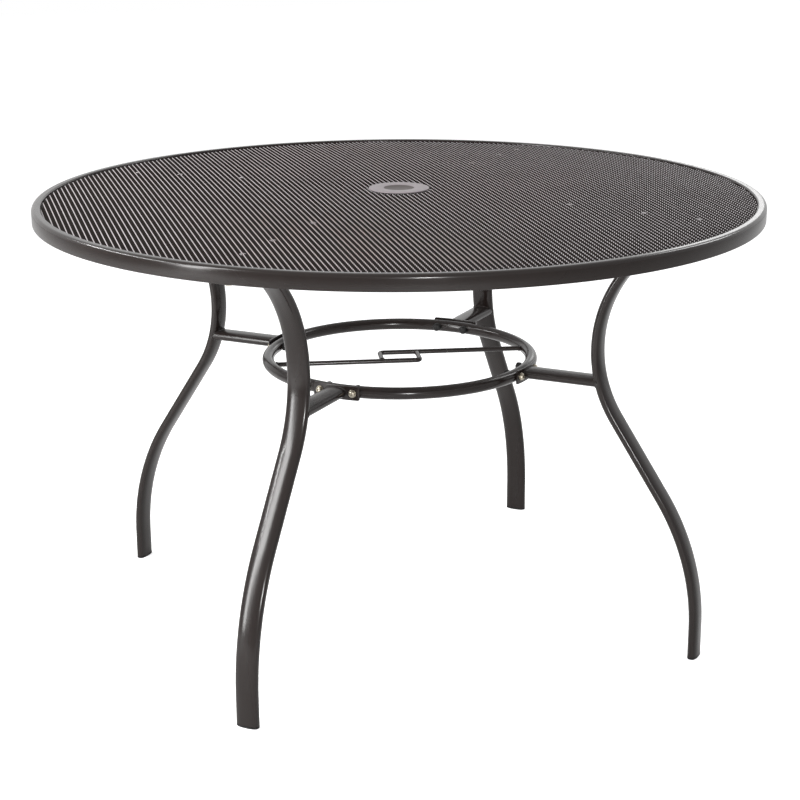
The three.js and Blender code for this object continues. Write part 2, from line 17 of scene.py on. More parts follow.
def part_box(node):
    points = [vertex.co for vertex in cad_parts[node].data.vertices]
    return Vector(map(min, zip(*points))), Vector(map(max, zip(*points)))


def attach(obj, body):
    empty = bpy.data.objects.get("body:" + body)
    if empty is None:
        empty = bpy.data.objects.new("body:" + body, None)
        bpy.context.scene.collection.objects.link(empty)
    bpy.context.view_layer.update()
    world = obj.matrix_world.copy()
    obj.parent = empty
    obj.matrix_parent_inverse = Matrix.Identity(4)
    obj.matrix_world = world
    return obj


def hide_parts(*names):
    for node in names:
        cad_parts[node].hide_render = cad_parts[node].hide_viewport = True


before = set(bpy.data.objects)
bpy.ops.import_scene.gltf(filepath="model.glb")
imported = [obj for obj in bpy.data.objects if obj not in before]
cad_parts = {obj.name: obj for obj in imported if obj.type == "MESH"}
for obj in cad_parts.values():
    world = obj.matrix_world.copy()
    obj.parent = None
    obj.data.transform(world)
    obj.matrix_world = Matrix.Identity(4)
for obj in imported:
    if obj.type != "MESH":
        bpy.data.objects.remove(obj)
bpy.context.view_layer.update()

bl_info = {
    "name": "Umbrella table",
    "version": (1, 0, 0),
    "blender": (4, 5, 0),
    "location": "View3D > Sidebar > Table",
    "description": "A garden table with an umbrella hole, an expanded metal top and curved legs",
    "category": "Add Mesh",
}

MM = 0.001
LEG_ANGLES = np.radians([45.0, 135.0, 225.0, 315.0])
# 2 makes a tube's section an ellipse, and a higher power gives it flatter sides.
OVAL_POWER = 2.7
# Room between pieces that don't touch.
GAP = 0.3 * MM
SLEEVE_WALL = 3 * MM
BEAD_RADIUS = 1.3 * MM
MERGE_DISTANCE = 1e-7


# Surfaces
# A surface is a pair: its points as an (n, 3) array, and its quads as an (m, 4) array of point
# numbers. Two points of a quad may lie on each other, as at a pole, until new_piece merges them.

def grid(points, wrap_rows=False):
    """A surface from a (rows, columns, 3) array: each quad joins two rows and two columns, and the
    last column joins the first."""
    rows, columns = points.shape[:2]
    last = rows if wrap_rows else rows - 1
    row, column = np.meshgrid(np.arange(last), np.arange(columns), indexing="ij")
    next_row, next_column = (row + 1) % rows, (column + 1) % columns
    corners = [(row, column), (next_row, column), (next_row, next_column), (row, next_column)]
    quads = np.stack([r * columns + c for r, c in corners], -1).reshape(-1, 4)
    return outward(points.reshape(-1, 3), quads)


def outward(points, quads):
    """Turns the faces of a closed surface outwards: its volume, the sum of a . (b x c) over its
    triangles, is positive when they are."""
    centred = points - points.mean(0)
    a, b, c, d = (centred[quads[:, i]] for i in range(4))
    volume = (a * np.cross(b, c)).sum() + (a * np.cross(c, d)).sum()
    return points, quads if volume > 0 else quads[:, ::-1]


def joined(surfaces):
    """Several surfaces as one: the quads of each count on from the points before them."""
    starts = np.cumsum([0] + [len(points) for points, _ in surfaces[:-1]])
    quads = [quads + start for (_, quads), start in zip(surfaces, starts)]
    return np.concatenate([points for points, _ in surfaces]), np.concatenate(quads)


def moved(surface, x, z):
    """A surface moved along X and Z."""
    return surface[0] + (x, 0, z), surface[1]


def turned_z(points, angle):
    """Points turned about the Z axis: (x cos a - y sin a, x sin a + y cos a, z)."""
    cosine, sine = math.cos(angle), math.sin(angle)
    x, y, z = points[..., 0], points[..., 1], points[..., 2]
    return np.stack([x * cosine - y * sine, x * sine + y * cosine, z], -1)


def at_angle(surface, angle):
    """A surface turned about the Z axis."""
    return turned_z(surface[0], angle), surface[1]


def merged(points, quads):
    """Merges points that lie on each other. A quad with two merged corners becomes a triangle, one
    with more vanishes, and so do two quads that lie face to face. Returns points, quads and
    triangles."""
    steps = np.round(points / MERGE_DISTANCE).astype(np.int64)
    _, first, number = np.unique(steps, axis=0, return_index=True, return_inverse=True)
    quads = number.reshape(-1)[quads]
    doubled = quads == np.roll(quads, -1, axis=1)
    crossed = (quads[:, 0] == quads[:, 2]) | (quads[:, 1] == quads[:, 3])
    count = doubled.sum(1)
    whole = quads[(count == 0) & ~crossed]
    _, kind, times = np.unique(np.sort(whole, axis=1), axis=0, return_inverse=True, return_counts=True)
    whole = whole[times[kind.reshape(-1)] == 1]
    reduced = (count == 1) & ~crossed
    triangles = quads[reduced][~doubled[reduced]].reshape(-1, 3)
    used, compact = np.unique(np.concatenate([whole.ravel(), triangles.ravel()]), return_inverse=True)
    compact = compact.reshape(-1)
    return points[first[used]], compact[:whole.size].reshape(-1, 4), compact[whole.size:].reshape(-1, 3)


# Profiles and paths

def arc(x, y, radius, start, end, steps):
    """Points of an arc from one angle to another, in degrees: centre + radius (cos, sin)."""
    angle = np.radians(np.linspace(start, end, steps + 1))
    return np.stack([x + radius * np.cos(angle), y + radius * np.sin(angle)], -1)


def profile(*parts):
    """One outline from points and arcs, in order."""
    return np.concatenate([np.atleast_2d(part) for part in parts])


def oval(width, thickness, inset=0.0):
    """Outline of a flat-oval tube, drawn in by an inset: |x/a|^p + |y/b|^p = 1, walked as
    x = a cos t, y = b sin t with both to the power 2/p. An array of insets gives one for each."""
    steps = 56
    angle = (np.arange(steps) + 0.5) * 2 * math.pi / steps
    inset = np.asarray(inset, float)[..., None]
    waves = np.cos(angle), np.sin(angle)
    across, up = (np.sign(wave) * np.abs(wave) ** (2 / OVAL_POWER) for wave in waves)
    return np.stack([(width / 2 - inset) * across, (thickness / 2 - inset) * up], -1)


def rounded_rectangle(width, height, radius):
    """Outline of a rectangle with quarter circles at its corners. Arrays give several outlines."""
    sizes = np.broadcast_arrays(*(np.asarray(value, float) for value in (width, height, radius)))
    width, height, radius = (size[..., None] for size in sizes)
    xs, ys = [], []
    for quarter, (side_x, side_y) in enumerate([(1, 1), (-1, 1), (-1, -1), (1, -1)]):
        angle = np.linspace(quarter, quarter + 1, 5) * math.pi / 2
        xs.append(side_x * (width / 2 - radius) + radius * np.cos(angle))
        ys.append(side_y * (height / 2 - radius) + radius * np.sin(angle))
    return np.stack([np.concatenate(xs, -1), np.concatenate(ys, -1)], -1)


def bent_path(x, z, heading, runs, step):
    """Stations x, z and heading of a line of straight runs and even bends in the XZ plane. A run is
    its length and turn; on a bend of radius r = length / turn from heading a to b, x grows by
    r (sin b - sin a) and z by r (cos a - cos b)."""
    stations = [np.array([[x, z, heading]])]
    for length, turn in runs:
        x, z, heading = stations[-1][-1]
        share = np.linspace(0, 1, max(2, round(length / step)) + 1)[1:]
        angle = heading + turn * share
        if turn:
            radius = length / turn
            along_x = radius * (np.sin(angle) - math.sin(heading))
            along_z = radius * (math.cos(heading) - np.cos(angle))
        else:
            along_x = length * share * math.cos(heading)
            along_z = length * share * math.sin(heading)
        stations.append(np.stack([x + along_x, z + along_z, angle], -1))
    return np.concatenate(stations)


def carried(sections, stations):
    """Points of a section at each station of a path: the section's x runs along Y and its y along
    the path's normal (-sin heading, cos heading)."""
    x, z, heading = (stations[:, i, None] for i in range(3))
    side, up = sections[..., 0], sections[..., 1]
    side = np.broadcast_to(side, (len(stations), side.shape[-1]))
    return np.stack([x - up * np.sin(heading), side, z + up * np.cos(heading)], -1)


def tube(outer, inner, stations):
    """A tube with a wall: the outer outline carried forward and the inner one back again."""
    rows = np.concatenate([carried(outer, stations), carried(inner, stations)[::-1]])
    return grid(rows, wrap_rows=True)


def lathe(outline, segments, closed=True):
    """An outline of radius and height turned about the Z axis: (r cos a, r sin a, h). It is closed
    on itself, or starts and ends on the axis."""
    angle = np.linspace(0, 2 * math.pi, segments, endpoint=False)
    radius, height = outline[:, 0, None], outline[:, 1, None]
    shape = np.broadcast_arrays(radius * np.cos(angle), radius * np.sin(angle), height)
    return grid(np.stack(shape, -1), wrap_rows=closed)


def knob(rows, segments):
    """A fastener round the X axis from rows of radius, place along X and hexness. The radius at
    angle a is r (1 - h + h / cos b), where b is the angle to the middle of the nearest of six
    sides: round at hexness 0 and six-sided at 1. The first and last rows lie on the axis."""
    angle = np.linspace(0, 2 * math.pi, segments, endpoint=False)
    pitch = 2 * math.pi / 6
    flat = 1 / np.cos((angle + pitch / 2) % pitch - pitch / 2)
    radius, place, hexness = (np.array(rows)[:, i, None] for i in range(3))
    reach = radius * (1 - hexness + hexness * flat)
    shape = np.broadcast_arrays(place, reach * np.cos(angle), reach * np.sin(angle))
    return grid(np.stack(shape, -1))


def distances(line):
    """How far along a line each of its points is: the sum of the steps before it."""
    return np.concatenate([[0], np.cumsum(np.linalg.norm(np.diff(line, axis=0), axis=1))])


def bead(centres, radius, about=(1.0, 0.0, 0.0), closed=True):
    """A weld bead along a line: a circle of radius r (1 + ripple sin (2 pi s / pitch)) at distance
    s. An open bead narrows to a point at both ends."""
    ripple, pitch, sides = 0.12, 1.6 * MM, 8
    if closed:
        tangent = np.roll(centres, -1, 0) - np.roll(centres, 1, 0)
    else:
        tangent = np.gradient(centres, axis=0)
    tangent /= np.linalg.norm(tangent, axis=1, keepdims=True)
    side = np.cross(tangent, about)
    side /= np.linalg.norm(side, axis=1, keepdims=True)
    up = np.cross(side, tangent)
    distance = distances(centres)
    size = radius * (1 + ripple * np.sin(2 * math.pi * distance / pitch))
    if not closed:
        share = distance / distance[-1]
        size *= np.sqrt(1 - np.abs(2 * share - 1) ** 6)
    angle = np.linspace(0, 2 * math.pi, sides, endpoint=False)[:, None]
    circle = side[:, None] * np.cos(angle) + up[:, None] * np.sin(angle)
    return grid(centres[:, None] + size[:, None, None] * circle, wrap_rows=closed)


def resampled(line, step):
    """Points at an even step along a closed line."""
    looped = np.concatenate([line, line[:1]])
    distance = distances(looped)
    places = np.linspace(0, distance[-1], round(distance[-1] / step), endpoint=False)
    return np.stack([np.interp(places, distance, looped[:, i]) for i in range(3)], -1)


def new_piece(name, surface, finish, *nodes, body="frame", smooth_angle=35):
    """Puts a surface into a mesh object that rides on a body and stands for CAD nodes. A finish is a
    material's maker and a slot's name; the slot is not used."""
    points, quads, triangles = merged(*surface)
    mesh = bpy.data.meshes.new(name)
    mesh.vertices.add(len(points))
    mesh.vertices.foreach_set("co", points.astype(np.float32).ravel())
    corners = np.concatenate([quads.ravel(), triangles.ravel()]).astype(np.int32)
    mesh.loops.add(len(corners))
    mesh.loops.foreach_set("vertex_index", corners)
    starts = np.concatenate([np.arange(len(quads)) * 4, quads.size + np.arange(len(triangles)) * 3])
    mesh.polygons.add(len(starts))
    mesh.polygons.foreach_set("loop_start", starts.astype(np.int32))
    mesh.update(calc_edges=True)
    if mesh.validate():
        raise RuntimeError(f"{name} has faces that don't close")
    mesh.shade_smooth()
    mesh.set_sharp_from_angle(angle=math.radians(smooth_angle))
    maker, slot = finish
    mesh.materials.append(made(maker))
    piece = bpy.data.objects.new(name, mesh)
    bpy.context.scene.collection.objects.link(piece)
    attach(piece, body)
    if nodes:
        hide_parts(*nodes)


def new_pieces(name, surface, finish, node, angles=LEG_ANGLES):
    """Numbered copies of a surface, turned about the Z axis, each for a numbered CAD node."""
    for number, angle in enumerate(angles, 1):
        new_piece(f"{name}_{number}", at_angle(surface, angle), finish, f"{node}_{number}")


# Sizes and colours that a user would change

def length(name, description, millimetres):
    """A size, given in millimetres."""
    return FloatProperty(
        name=name, description=description, default=millimetres * MM, unit="LENGTH", precision=5,
    )


def degrees(name, description, angle):
    """An angle, given in degrees."""
    return FloatProperty(
        name=name, description=description, default=math.radians(angle), subtype="ANGLE",
    )


def linear(code):
    """An sRGB hex colour as linear red, green, blue and alpha."""
    values = np.array([int(code[i:i + 2], 16) for i in (1, 3, 5)]) / 255
    low, high = values / 12.92, ((values + 0.055) / 1.055) ** 2.4
    return (*np.where(values <= 0.04045, low, high).tolist(), 1.0)


def colour(name, description, code):
    """A colour, given as an sRGB hex value."""
    return FloatVectorProperty(
        name=name, description=description, default=linear(code), size=4, min=0, max=1, subtype="COLOR",
    )


class TableTopSizes(PropertyGroup):
    """The top: rim, mesh and umbrella hole."""
    rim_width: length("Rim width", "Width of the rim seen from above", 15)
    rim_wall: length("Rim wall", "Sheet thickness of the rim", 1.5)
    rim_outer_round: length("Outer round", "Radius of the rim's outer shoulder", 6)
    rim_inner_round: length("Inner round", "Radius of the rim's inner shoulder", 3)
    rim_foot_lip: length("Foot lip", "Width of the lip at the rim's lower edge", 7)
    mesh_drop: length("Mesh drop", "Depth of the mesh below the rim's top", 5.7)
    ledge_width: length("Ledge width", "Width of the ledge that carries the mesh", 12)
    ledge_lip: length("Ledge lip", "Height of the lip below the ledge", 13)
    crown: length("Crown", "Rise of the mesh from the rim to the centre", 12.5)
    diamond_length: length("Diamond length", "Long way of one diamond of the mesh", 16.2)
    diamond_width: length("Diamond width", "Short way of one diamond of the mesh", 8)
    strand_width: length("Strand width", "Width of one strand of the mesh", 1.5)
    strand_thickness: length("Strand thickness", "Sheet thickness of the mesh", 1.0)
    bond_length: length("Bond length", "Length of the joint where two strands meet", 2.6)
    strand_tilt: degrees("Strand tilt", "Tilt of the strands out of the sheet", 38)
    mesh_turn: degrees("Mesh turn", "Turn of the long way of the diamonds from the X axis", -4.6)
    sheet_count: IntProperty(
        name="Mesh pieces", description="Bands that the mesh is split into", default=4,
    )


class TableLegSizes(PropertyGroup):
    """The legs, braces and struts."""
    tube_width: length("Tube width", "Width of the flat-oval leg tube", 38)
    tube_thickness: length("Tube thickness", "Thickness of the flat-oval leg tube", 17)
    tube_wall: length("Tube wall", "Wall of the leg tube", 1.2)
    foot_run: length("Foot run", "Length of the straight foot", 50)
    lower_bend: length("Lower bend", "Radius of the bend above the foot", 385)
    upper_bend: length("Upper bend", "Radius of the bend below the waist", 206)
    crown_share: FloatProperty(
        name="Crown share", default=1.25,
        description="Radius of the bend above the waist, over the way from waist to seat",
    )
    crown_turn: degrees("Crown turn", "Turn of the bend above the waist", 56)
    top_run: length("Top run", "Length of the straight run under the brace", 38)
    end_inset: length("End inset", "Distance of the leg's upper end from the rim's outside", 35)
    brace_width: length("Brace width", "Width of the braces under the mesh", 20)
    brace_height: length("Brace height", "Height of the braces under the mesh", 12)
    brace_wall: length("Brace wall", "Wall of the braces", 1.5)


class TableRingSizes(PropertyGroup):
    """The ring, its plates and the pole guide."""
    ring_tube: length("Ring tube", "Diameter of the ring's tube", 20)
    saddle_length: length("Saddle length", "Length of a saddle plate round the ring", 82)
    saddle_height: length("Saddle height", "Height of a saddle plate", 23)
    saddle_thickness: length("Saddle thickness", "Thickness of a saddle plate", 2.5)
    bolt_spacing: length("Bolt spacing", "Distance between the two bolts of a plate", 58)
    bolt_head: length("Bolt head", "Diameter of a bolt's head", 11)
    washer: length("Washer", "Diameter of a washer", 13)
    nut: length("Nut", "Diameter of a capped nut", 14)
    wire: length("Wire", "Diameter of the guide wires", 8)
    guide_length: length("Guide length", "Long side of the guide loop between centre lines", 64)
    guide_width: length("Guide width", "Short side of the guide loop between centre lines", 54)
    wire_bend: length("Wire bend", "Radius of the bend in a guide wire", 7)
    guide_turn: degrees("Guide turn", "Turn of the guide loop from the X axis", -13)


class TableFinishes(PropertyGroup):
    """Colours of the finishes."""
    coat: colour("Powder coat", "Warm dark grey of rim, legs and ring", "#1b1513")
    # A painted highlight on the mesh's ridges; the welds' light blotches use the same colour.
    highlight_and_weld_blotch: colour("Ridge highlight", "Painted highlight along the ridges of the mesh, also the light blotches on the welds", "#e6e0e3")
    dust: colour("Dust", "Pale dust on what faces up", "#b5aeac")
    hub: colour("Hub coat", "Light grey of the ring round the umbrella hole", "#827a7d")
    cap: colour("Cap plastic", "Grey plastic of the cap in the umbrella hole", "#4a4442")
    black: colour("Black plastic", "Black plastic of feet, plugs and nut caps", "#0c0b0b")
    zinc: colour("Yellow zinc", "Yellow zinc plate of the bolts", "#b6afa1")
    dull_zinc: colour("Dull zinc", "Greener patches in the zinc plate", "#9a9384")
    floor: colour("Floor", "Pale floor under the table", "#f2f2f2")


class TableStage(PropertyGroup):
    """Camera and light."""
    camera_turn: degrees("Camera turn", "Compass turn of the camera's view from +Y towards +X", 19.26)
    camera_pitch: degrees("Camera pitch", "Angle of the camera's view below the horizon", 17.03)
    camera_roll: degrees(
        "Camera roll", "Turn of the camera about its view, anticlockwise as it looks", -0.24,
    )
    camera_place: FloatVectorProperty(
        name="Camera place", description="Place of the camera", default=(-1.011, -2.894, 1.291),
        subtype="TRANSLATION", unit="LENGTH",
    )
    lens: FloatProperty(name="Lens", description="Focal length in millimetres", default=84.03)
    shift: FloatProperty(name="Shift", description="Upward shift of the lens", default=0.0149)


# Places worked out from the CAD nodes and the sizes

def round_size(box):
    """Radius, bottom and top of a round CAD node, from its lowest and highest corner."""
    low, high = box
    return high[0], low[2], high[2]


def turned_box(node, angle=LEG_ANGLES[0]):
    """Lowest and highest corner of a CAD node turned back about Z by an angle."""
    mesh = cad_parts[node].data
    points = np.empty(len(mesh.vertices) * 3)
    mesh.vertices.foreach_get("co", points)
    points = turned_z(points.reshape(-1, 3), -angle)
    return points.min(0), points.max(0)


class Layout:
    """Where the frame's parts are, in metres."""

    def __init__(self, scene):
        self.top, self.legs, self.ring = scene.table_top, scene.table_legs, scene.table_ring
        self.rim_radius, self.rim_bottom, self.rim_top = round_size(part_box("top_rim"))
        self.mesh_radius, self.mesh_low, _ = round_size(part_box("mesh_panel"))
        self.ledge_top = self.rim_top - self.top.mesh_drop
        self.ledge_radius = self.rim_radius - self.top.rim_width - self.top.ledge_width
        self.flange_radius, self.flange_bottom, self.flange_top = round_size(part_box("umbrella_ring"))
        self.cap_radius, self.cap_bottom, self.cap_top = round_size(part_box("hole_cap"))
        self.sleeve_radius, self.sleeve_bottom, self.sleeve_top = round_size(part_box("umbrella_sleeve"))
        ring_outside, ring_bottom, ring_top = round_size(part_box("frame_ring"))
        self.ring_radius = ring_outside - self.ring.ring_tube / 2
        self.ring_height = (ring_bottom + ring_top) / 2
        self.saddle_outer = turned_box("saddle_plate_1")[1][0]
        bolt_turn = math.asin(self.ring.bolt_spacing / 2 / self.saddle_outer)
        self.bolt_angles = (LEG_ANGLES[:, None] + np.array([-1, 1]) * bolt_turn).ravel()
        self.wire_angles = self.ring.guide_turn + np.array([0, math.pi])
        low, high = turned_box("under_brace_1")
        self.brace_inner, self.brace_outer = low[0], high[0]
        self.sheet_gap = self.mesh_bottom(self.brace_inner) - high[2]
        low, high = turned_box("leg_1")
        self.leg_base = low[2]
        self.waist_radius = low[0] + self.legs.tube_thickness / 2
        low, high = turned_box("foot_cap_1")
        self.foot_radius = (low[0] + high[0]) / 2
        self.leg_path = self.bent_leg()

    def mesh_bottom(self, radius):
        """Height of the mesh's underside: it falls from the crown with the square of the radius."""
        share = radius / self.mesh_radius
        return self.mesh_low + self.top.crown * (1 - share ** 2)

    def brace_top(self, radius):
        """Height of a brace's upper face, an even gap below the mesh."""
        return self.mesh_bottom(radius) - self.sheet_gap

    def bent_leg(self):
        """The leg's centre line: a foot, two opposite bends joined by a slanting run that touches
        both, a wide crown bend above the waist, and a tighter shoulder that lays the leg against
        the brace. A bend of radius r from heading a to b reaches r (sin a - sin b) outwards."""
        legs = self.legs
        seat_radius = self.rim_radius - legs.end_inset - legs.top_run
        seat_slope = math.atan(2 * self.top.crown * seat_radius / self.mesh_radius ** 2)
        turn, crown_turn = math.pi / 2 + seat_slope, legs.crown_turn
        room = seat_radius - self.waist_radius
        crown = room * legs.crown_share
        shoulder = (room - crown * (1 - math.cos(crown_turn))) / (math.cos(crown_turn) - math.cos(turn))
        seat_height = self.brace_top(seat_radius) - legs.brace_height - GAP - legs.tube_thickness / 2
        drop = crown * math.sin(crown_turn) + shoulder * (math.sin(turn) - math.sin(crown_turn))
        rise = seat_height - drop - self.leg_base - legs.foot_run
        reach = self.foot_radius - self.waist_radius
        bends = legs.lower_bend + legs.upper_bend
        slant = math.sqrt(rise ** 2 + reach ** 2 - 2 * reach * bends)
        lean = math.atan2(rise, bends - reach) - math.atan2(slant, bends)
        return bent_path(self.foot_radius, self.leg_base, math.pi / 2, [
            (legs.foot_run, 0),
            (legs.lower_bend * lean, lean),
            (slant, 0),
            (legs.upper_bend * lean, -lean),
            (crown * crown_turn, -crown_turn),
            (shoulder * (turn - crown_turn), crown_turn - turn),
            (legs.top_run, 0),
        ], step=5 * MM)

    def leg_inner_face(self, y, z):
        """Distance from the axis of the leg's inner face: its centre line at that height, less half
        the flat oval's thickness there, over the sine of its heading."""
        below_shoulder = self.leg_path[self.leg_path[:, 1] < self.ring_height + 2 * self.legs.tube_width]
        x, height, heading = below_shoulder.T
        share = np.clip(np.abs(y) / (self.legs.tube_width / 2), 0, 1)
        half = self.legs.tube_thickness / 2 * (1 - share ** OVAL_POWER) ** (1 / OVAL_POWER)
        return np.interp(z, height, x) - half / np.sin(np.interp(z, height, heading))

    def strut_ends(self, y, z):
        """Where a strut's outline meets the saddle plate, x = sqrt(R^2 - y^2), and the leg."""
        return np.sqrt(self.saddle_outer ** 2 - y ** 2), self.leg_inner_face(y, z + self.ring_height)


# Materials
# Each maker takes a node tree, its Object coordinates and the scene, and returns the inputs of the
# material's shader. Object coordinates are in metres, so a pattern's scale is one over its real size.

def connect(tree, node, inputs):
    """Sets inputs of a node: each to a value, or by a link from a socket."""
    for name, value in inputs.items():
        if isinstance(value, bpy.types.NodeSocket):
            tree.links.new(value, node.inputs[name])
        else:
            node.inputs[name].default_value = value


def add_node(tree, kind, inputs=None, **settings):
    """Adds a node with its settings and inputs, and returns its outputs."""
    node = tree.nodes.new("ShaderNode" + kind)
    for name, value in settings.items():
        setattr(node, name, value)
    connect(tree, node, inputs or {})
    return node.outputs


def made(maker):
    """The material of a maker, named after it and made when it is first asked for."""
    material = bpy.data.materials.get(maker.__name__)
    if material is None:
        material = bpy.data.materials.new(maker.__name__)
        material.use_nodes = True
        tree = material.node_tree
        place = add_node(tree, "TexCoord")["Object"]
        connect(tree, tree.nodes["Principled BSDF"], maker(tree, place, bpy.context.scene))
    return material


def patchy(tree, place, millimetres, low, high, detail=2.0):
    """A number from low to high, in patches about so many millimetres across."""
    scale = 1 / (millimetres * MM)
    noise = add_node(tree, "TexNoise", {"Vector": place, "Scale": scale, "Detail": detail})["Fac"]
    return add_node(tree, "MapRange", {"Value": noise, "To Min": low, "To Max": high})["Result"]


def cloudy(tree, place, base, millimetres, low, high, detail=2.0):
    """A colour made darker and lighter in patches: it is multiplied by low to high."""
    factor = patchy(tree, place, millimetres, low, high, detail)
    mix = {"Factor": 1.0, 6: base, 7: factor}
    return add_node(tree, "Mix", mix, data_type="RGBA", blend_type="MULTIPLY", clamp_result=True)[2]


def orange_peel(tree, place, millimetres, depth):
    """The low waves of a sprayed and baked coat, or a moulded grain, as a normal."""
    height = patchy(tree, place, millimetres, 0.0, 1.0, 1.0)
    return add_node(tree, "Bump", {"Height": height, "Distance": depth * MM, "Strength": 1.0})["Normal"]


def satin_powder_coat(tree, place, scene):
    """Satin polyester powder coat on steel, sprayed and baked: a warm dark grey with soft wide
    highlights, faint orange peel, and a little dust on what faces up."""
    finishes = scene.table_finishes
    normal = add_node(tree, "NewGeometry")["Normal"]
    upward = add_node(tree, "SeparateXYZ", {"Vector": normal})["Z"]
    upward = add_node(tree, "Math", {0: upward, 1: 6.0}, operation="POWER", use_clamp=True)[0]
    dust = add_node(tree, "Math", {0: upward, 1: 0.03}, operation="MULTIPLY")[0]
    mix = {"Factor": dust, 6: cloudy(tree, place, finishes.coat, 90, 0.88, 1.12, 3.0), 7: finishes.dust}
    return {
        "Base Color": add_node(tree, "Mix", mix, data_type="RGBA")[2],
        "Roughness": patchy(tree, place, 35, 0.17, 0.22),
        "IOR": 1.33,
        "Coat Weight": 0.08,
        "Coat Roughness": 0.12,
        # Orange peel is about 2 mm across on such a coat.
        "Normal": orange_peel(tree, place, 2.2, 0.015),
    }


def powder_coat_on_mesh(tree, place, scene):
    """The same coat on expanded metal, with a painted highlight: the ridges where strands join are
    painted in a pale colour, and the strands between stay dark. Ridges stand half a diamond's length
    apart along the turned X."""
    top, finishes = scene.table_top, scene.table_finishes
    turn = {"Vector": place, "Angle": -top.mesh_turn}
    turned = add_node(tree, "VectorRotate", turn, rotation_type="Z_AXIS")[0]
    along = add_node(tree, "SeparateXYZ", {"Vector": turned})["X"]
    away = add_node(tree, "Math", {0: along, 1: top.diamond_length / 4}, operation="PINGPONG")[0]
    # The painted highlight is full up to the first distance from the middle of the nearest of the
    # ridges, and gone beyond the second.
    full, gone = top.bond_length * 0.12, top.bond_length * 0.38
    near = add_node(tree, "MapRange", {
        "Value": away, "From Min": full, "From Max": gone, "To Min": 1.0, "To Max": 0.0,
    }, interpolation_type="SMOOTHSTEP")["Result"]
    patches = patchy(tree, place, 120, 0.72, 1.0, 3.0)
    highlight_share = add_node(tree, "Math", {0: near, 1: patches}, operation="MULTIPLY", use_clamp=True)[0]
    # The coat is mixed towards the pale colour of the painted highlight along the ridges, which is
    # weaker in broad patches.
    mix = {"Factor": highlight_share, 6: cloudy(tree, place, finishes.coat, 60, 0.85, 1.1, 3.0), 7: finishes.highlight_and_weld_blotch}
    rough = {"Value": highlight_share, "To Min": 0.34, "To Max": 0.42}
    specular = {"Value": highlight_share, "To Min": 0.2, "To Max": 0.6}
    return {
        "Base Color": add_node(tree, "Mix", mix, data_type="RGBA")[2],
        "Roughness": add_node(tree, "MapRange", rough)["Result"],
        "Specular IOR Level": add_node(tree, "MapRange", specular)["Result"],
        "IOR": 1.4,
    }


def blotched_coat_on_welds(tree, place, scene):
    """Dark coat over ground welds, mixed in blotches towards the pale colour of the mesh's painted
    highlight.
    """
    finishes = scene.table_finishes
    mix = {"Factor": patchy(tree, place, 5, 0.0, 0.7, 3.0), 6: finishes.coat, 7: finishes.highlight_and_weld_blotch}
    return {"Base Color": add_node(tree, "Mix", mix, data_type="RGBA")[2], "Roughness": 0.4}


def light_grey_powder_coat(tree, place, scene):
    """Light grey powder coat of the flat ring: even and satin, with faint rubbing marks, and a painted
    shadow low on its edge, where it lies on the mesh."""
    bottom = Layout(scene).flange_bottom
    # Painted shadow: the colour is cut to 0.12 up to 0.8 mm above the underside, and is back to full 1.8
    # mm above it.
    shadow_full, shadow_gone = bottom + 0.8 * MM, bottom + 1.8 * MM
    height = add_node(tree, "SeparateXYZ", {"Vector": place})["Z"]
    shade = add_node(tree, "MapRange", {
        "Value": height, "From Min": shadow_full, "From Max": shadow_gone, "To Min": 0.12, "To Max": 1.0,
    }, interpolation_type="SMOOTHSTEP")["Result"]
    base = cloudy(tree, place, scene.table_finishes.hub, 14, 0.92, 1.08, 4.0)
    mix = {"Factor": 1.0, 6: base, 7: shade}
    base = add_node(tree, "Mix", mix, data_type="RGBA", blend_type="MULTIPLY", clamp_result=True)[2]
    return {
        "Base Color": base,
        "Roughness": patchy(tree, place, 4, 0.36, 0.46),
        "Normal": orange_peel(tree, place, 1.8, 0.02),
    }


def moulded_plastic(tree, place, base):
    """Injection-moulded polypropylene with a fine spark-eroded grain, which keeps gloss low."""
    return {
        "Base Color": cloudy(tree, place, base, 6, 0.9, 1.1, 3.0),
        "Roughness": patchy(tree, place, 2.5, 0.5, 0.62),
        "IOR": 1.35,
        # The real grain is about 0.1 mm; it is drawn at 0.5 mm so that it shows close up.
        "Normal": orange_peel(tree, place, 0.5, 0.02),
    }


def moulded_grey_plastic(tree, place, scene):
    """The cap's plastic."""
    return moulded_plastic(tree, place, scene.table_finishes.cap)


def moulded_black_plastic(tree, place, scene):
    """The plastic of feet, plugs and nut caps."""
    return moulded_plastic(tree, place, scene.table_finishes.black)


def yellow_zinc_plate(tree, place, scene):
    """Zinc plate with yellow passivation on steel: a pale metal with brassy and greenish patches."""
    finishes = scene.table_finishes
    mix = {"Factor": patchy(tree, place, 5, 0.0, 1.0), 6: finishes.zinc, 7: finishes.dull_zinc}
    base = add_node(tree, "Mix", mix, data_type="RGBA")[2]
    return {
        "Base Color": cloudy(tree, place, base, 1.5, 0.85, 1.1),
        "Roughness": patchy(tree, place, 2, 0.22, 0.36),
        "Metallic": 1.0,
    }


# A finish is the maker of a material, and the name of a slot, which nothing here uses.
DARK_COAT = satin_powder_coat, "dark_coat"
MESH_COAT = powder_coat_on_mesh, "mesh_coat"
WELD_COAT = blotched_coat_on_welds, "mesh_coat"
HUB_COAT = light_grey_powder_coat, "hub_coat"
GREY_PLASTIC = moulded_grey_plastic, "grey_plastic"
BLACK_PLASTIC = moulded_black_plastic, "black_plastic"
ZINC = yellow_zinc_plate, "zinc"


# Pieces

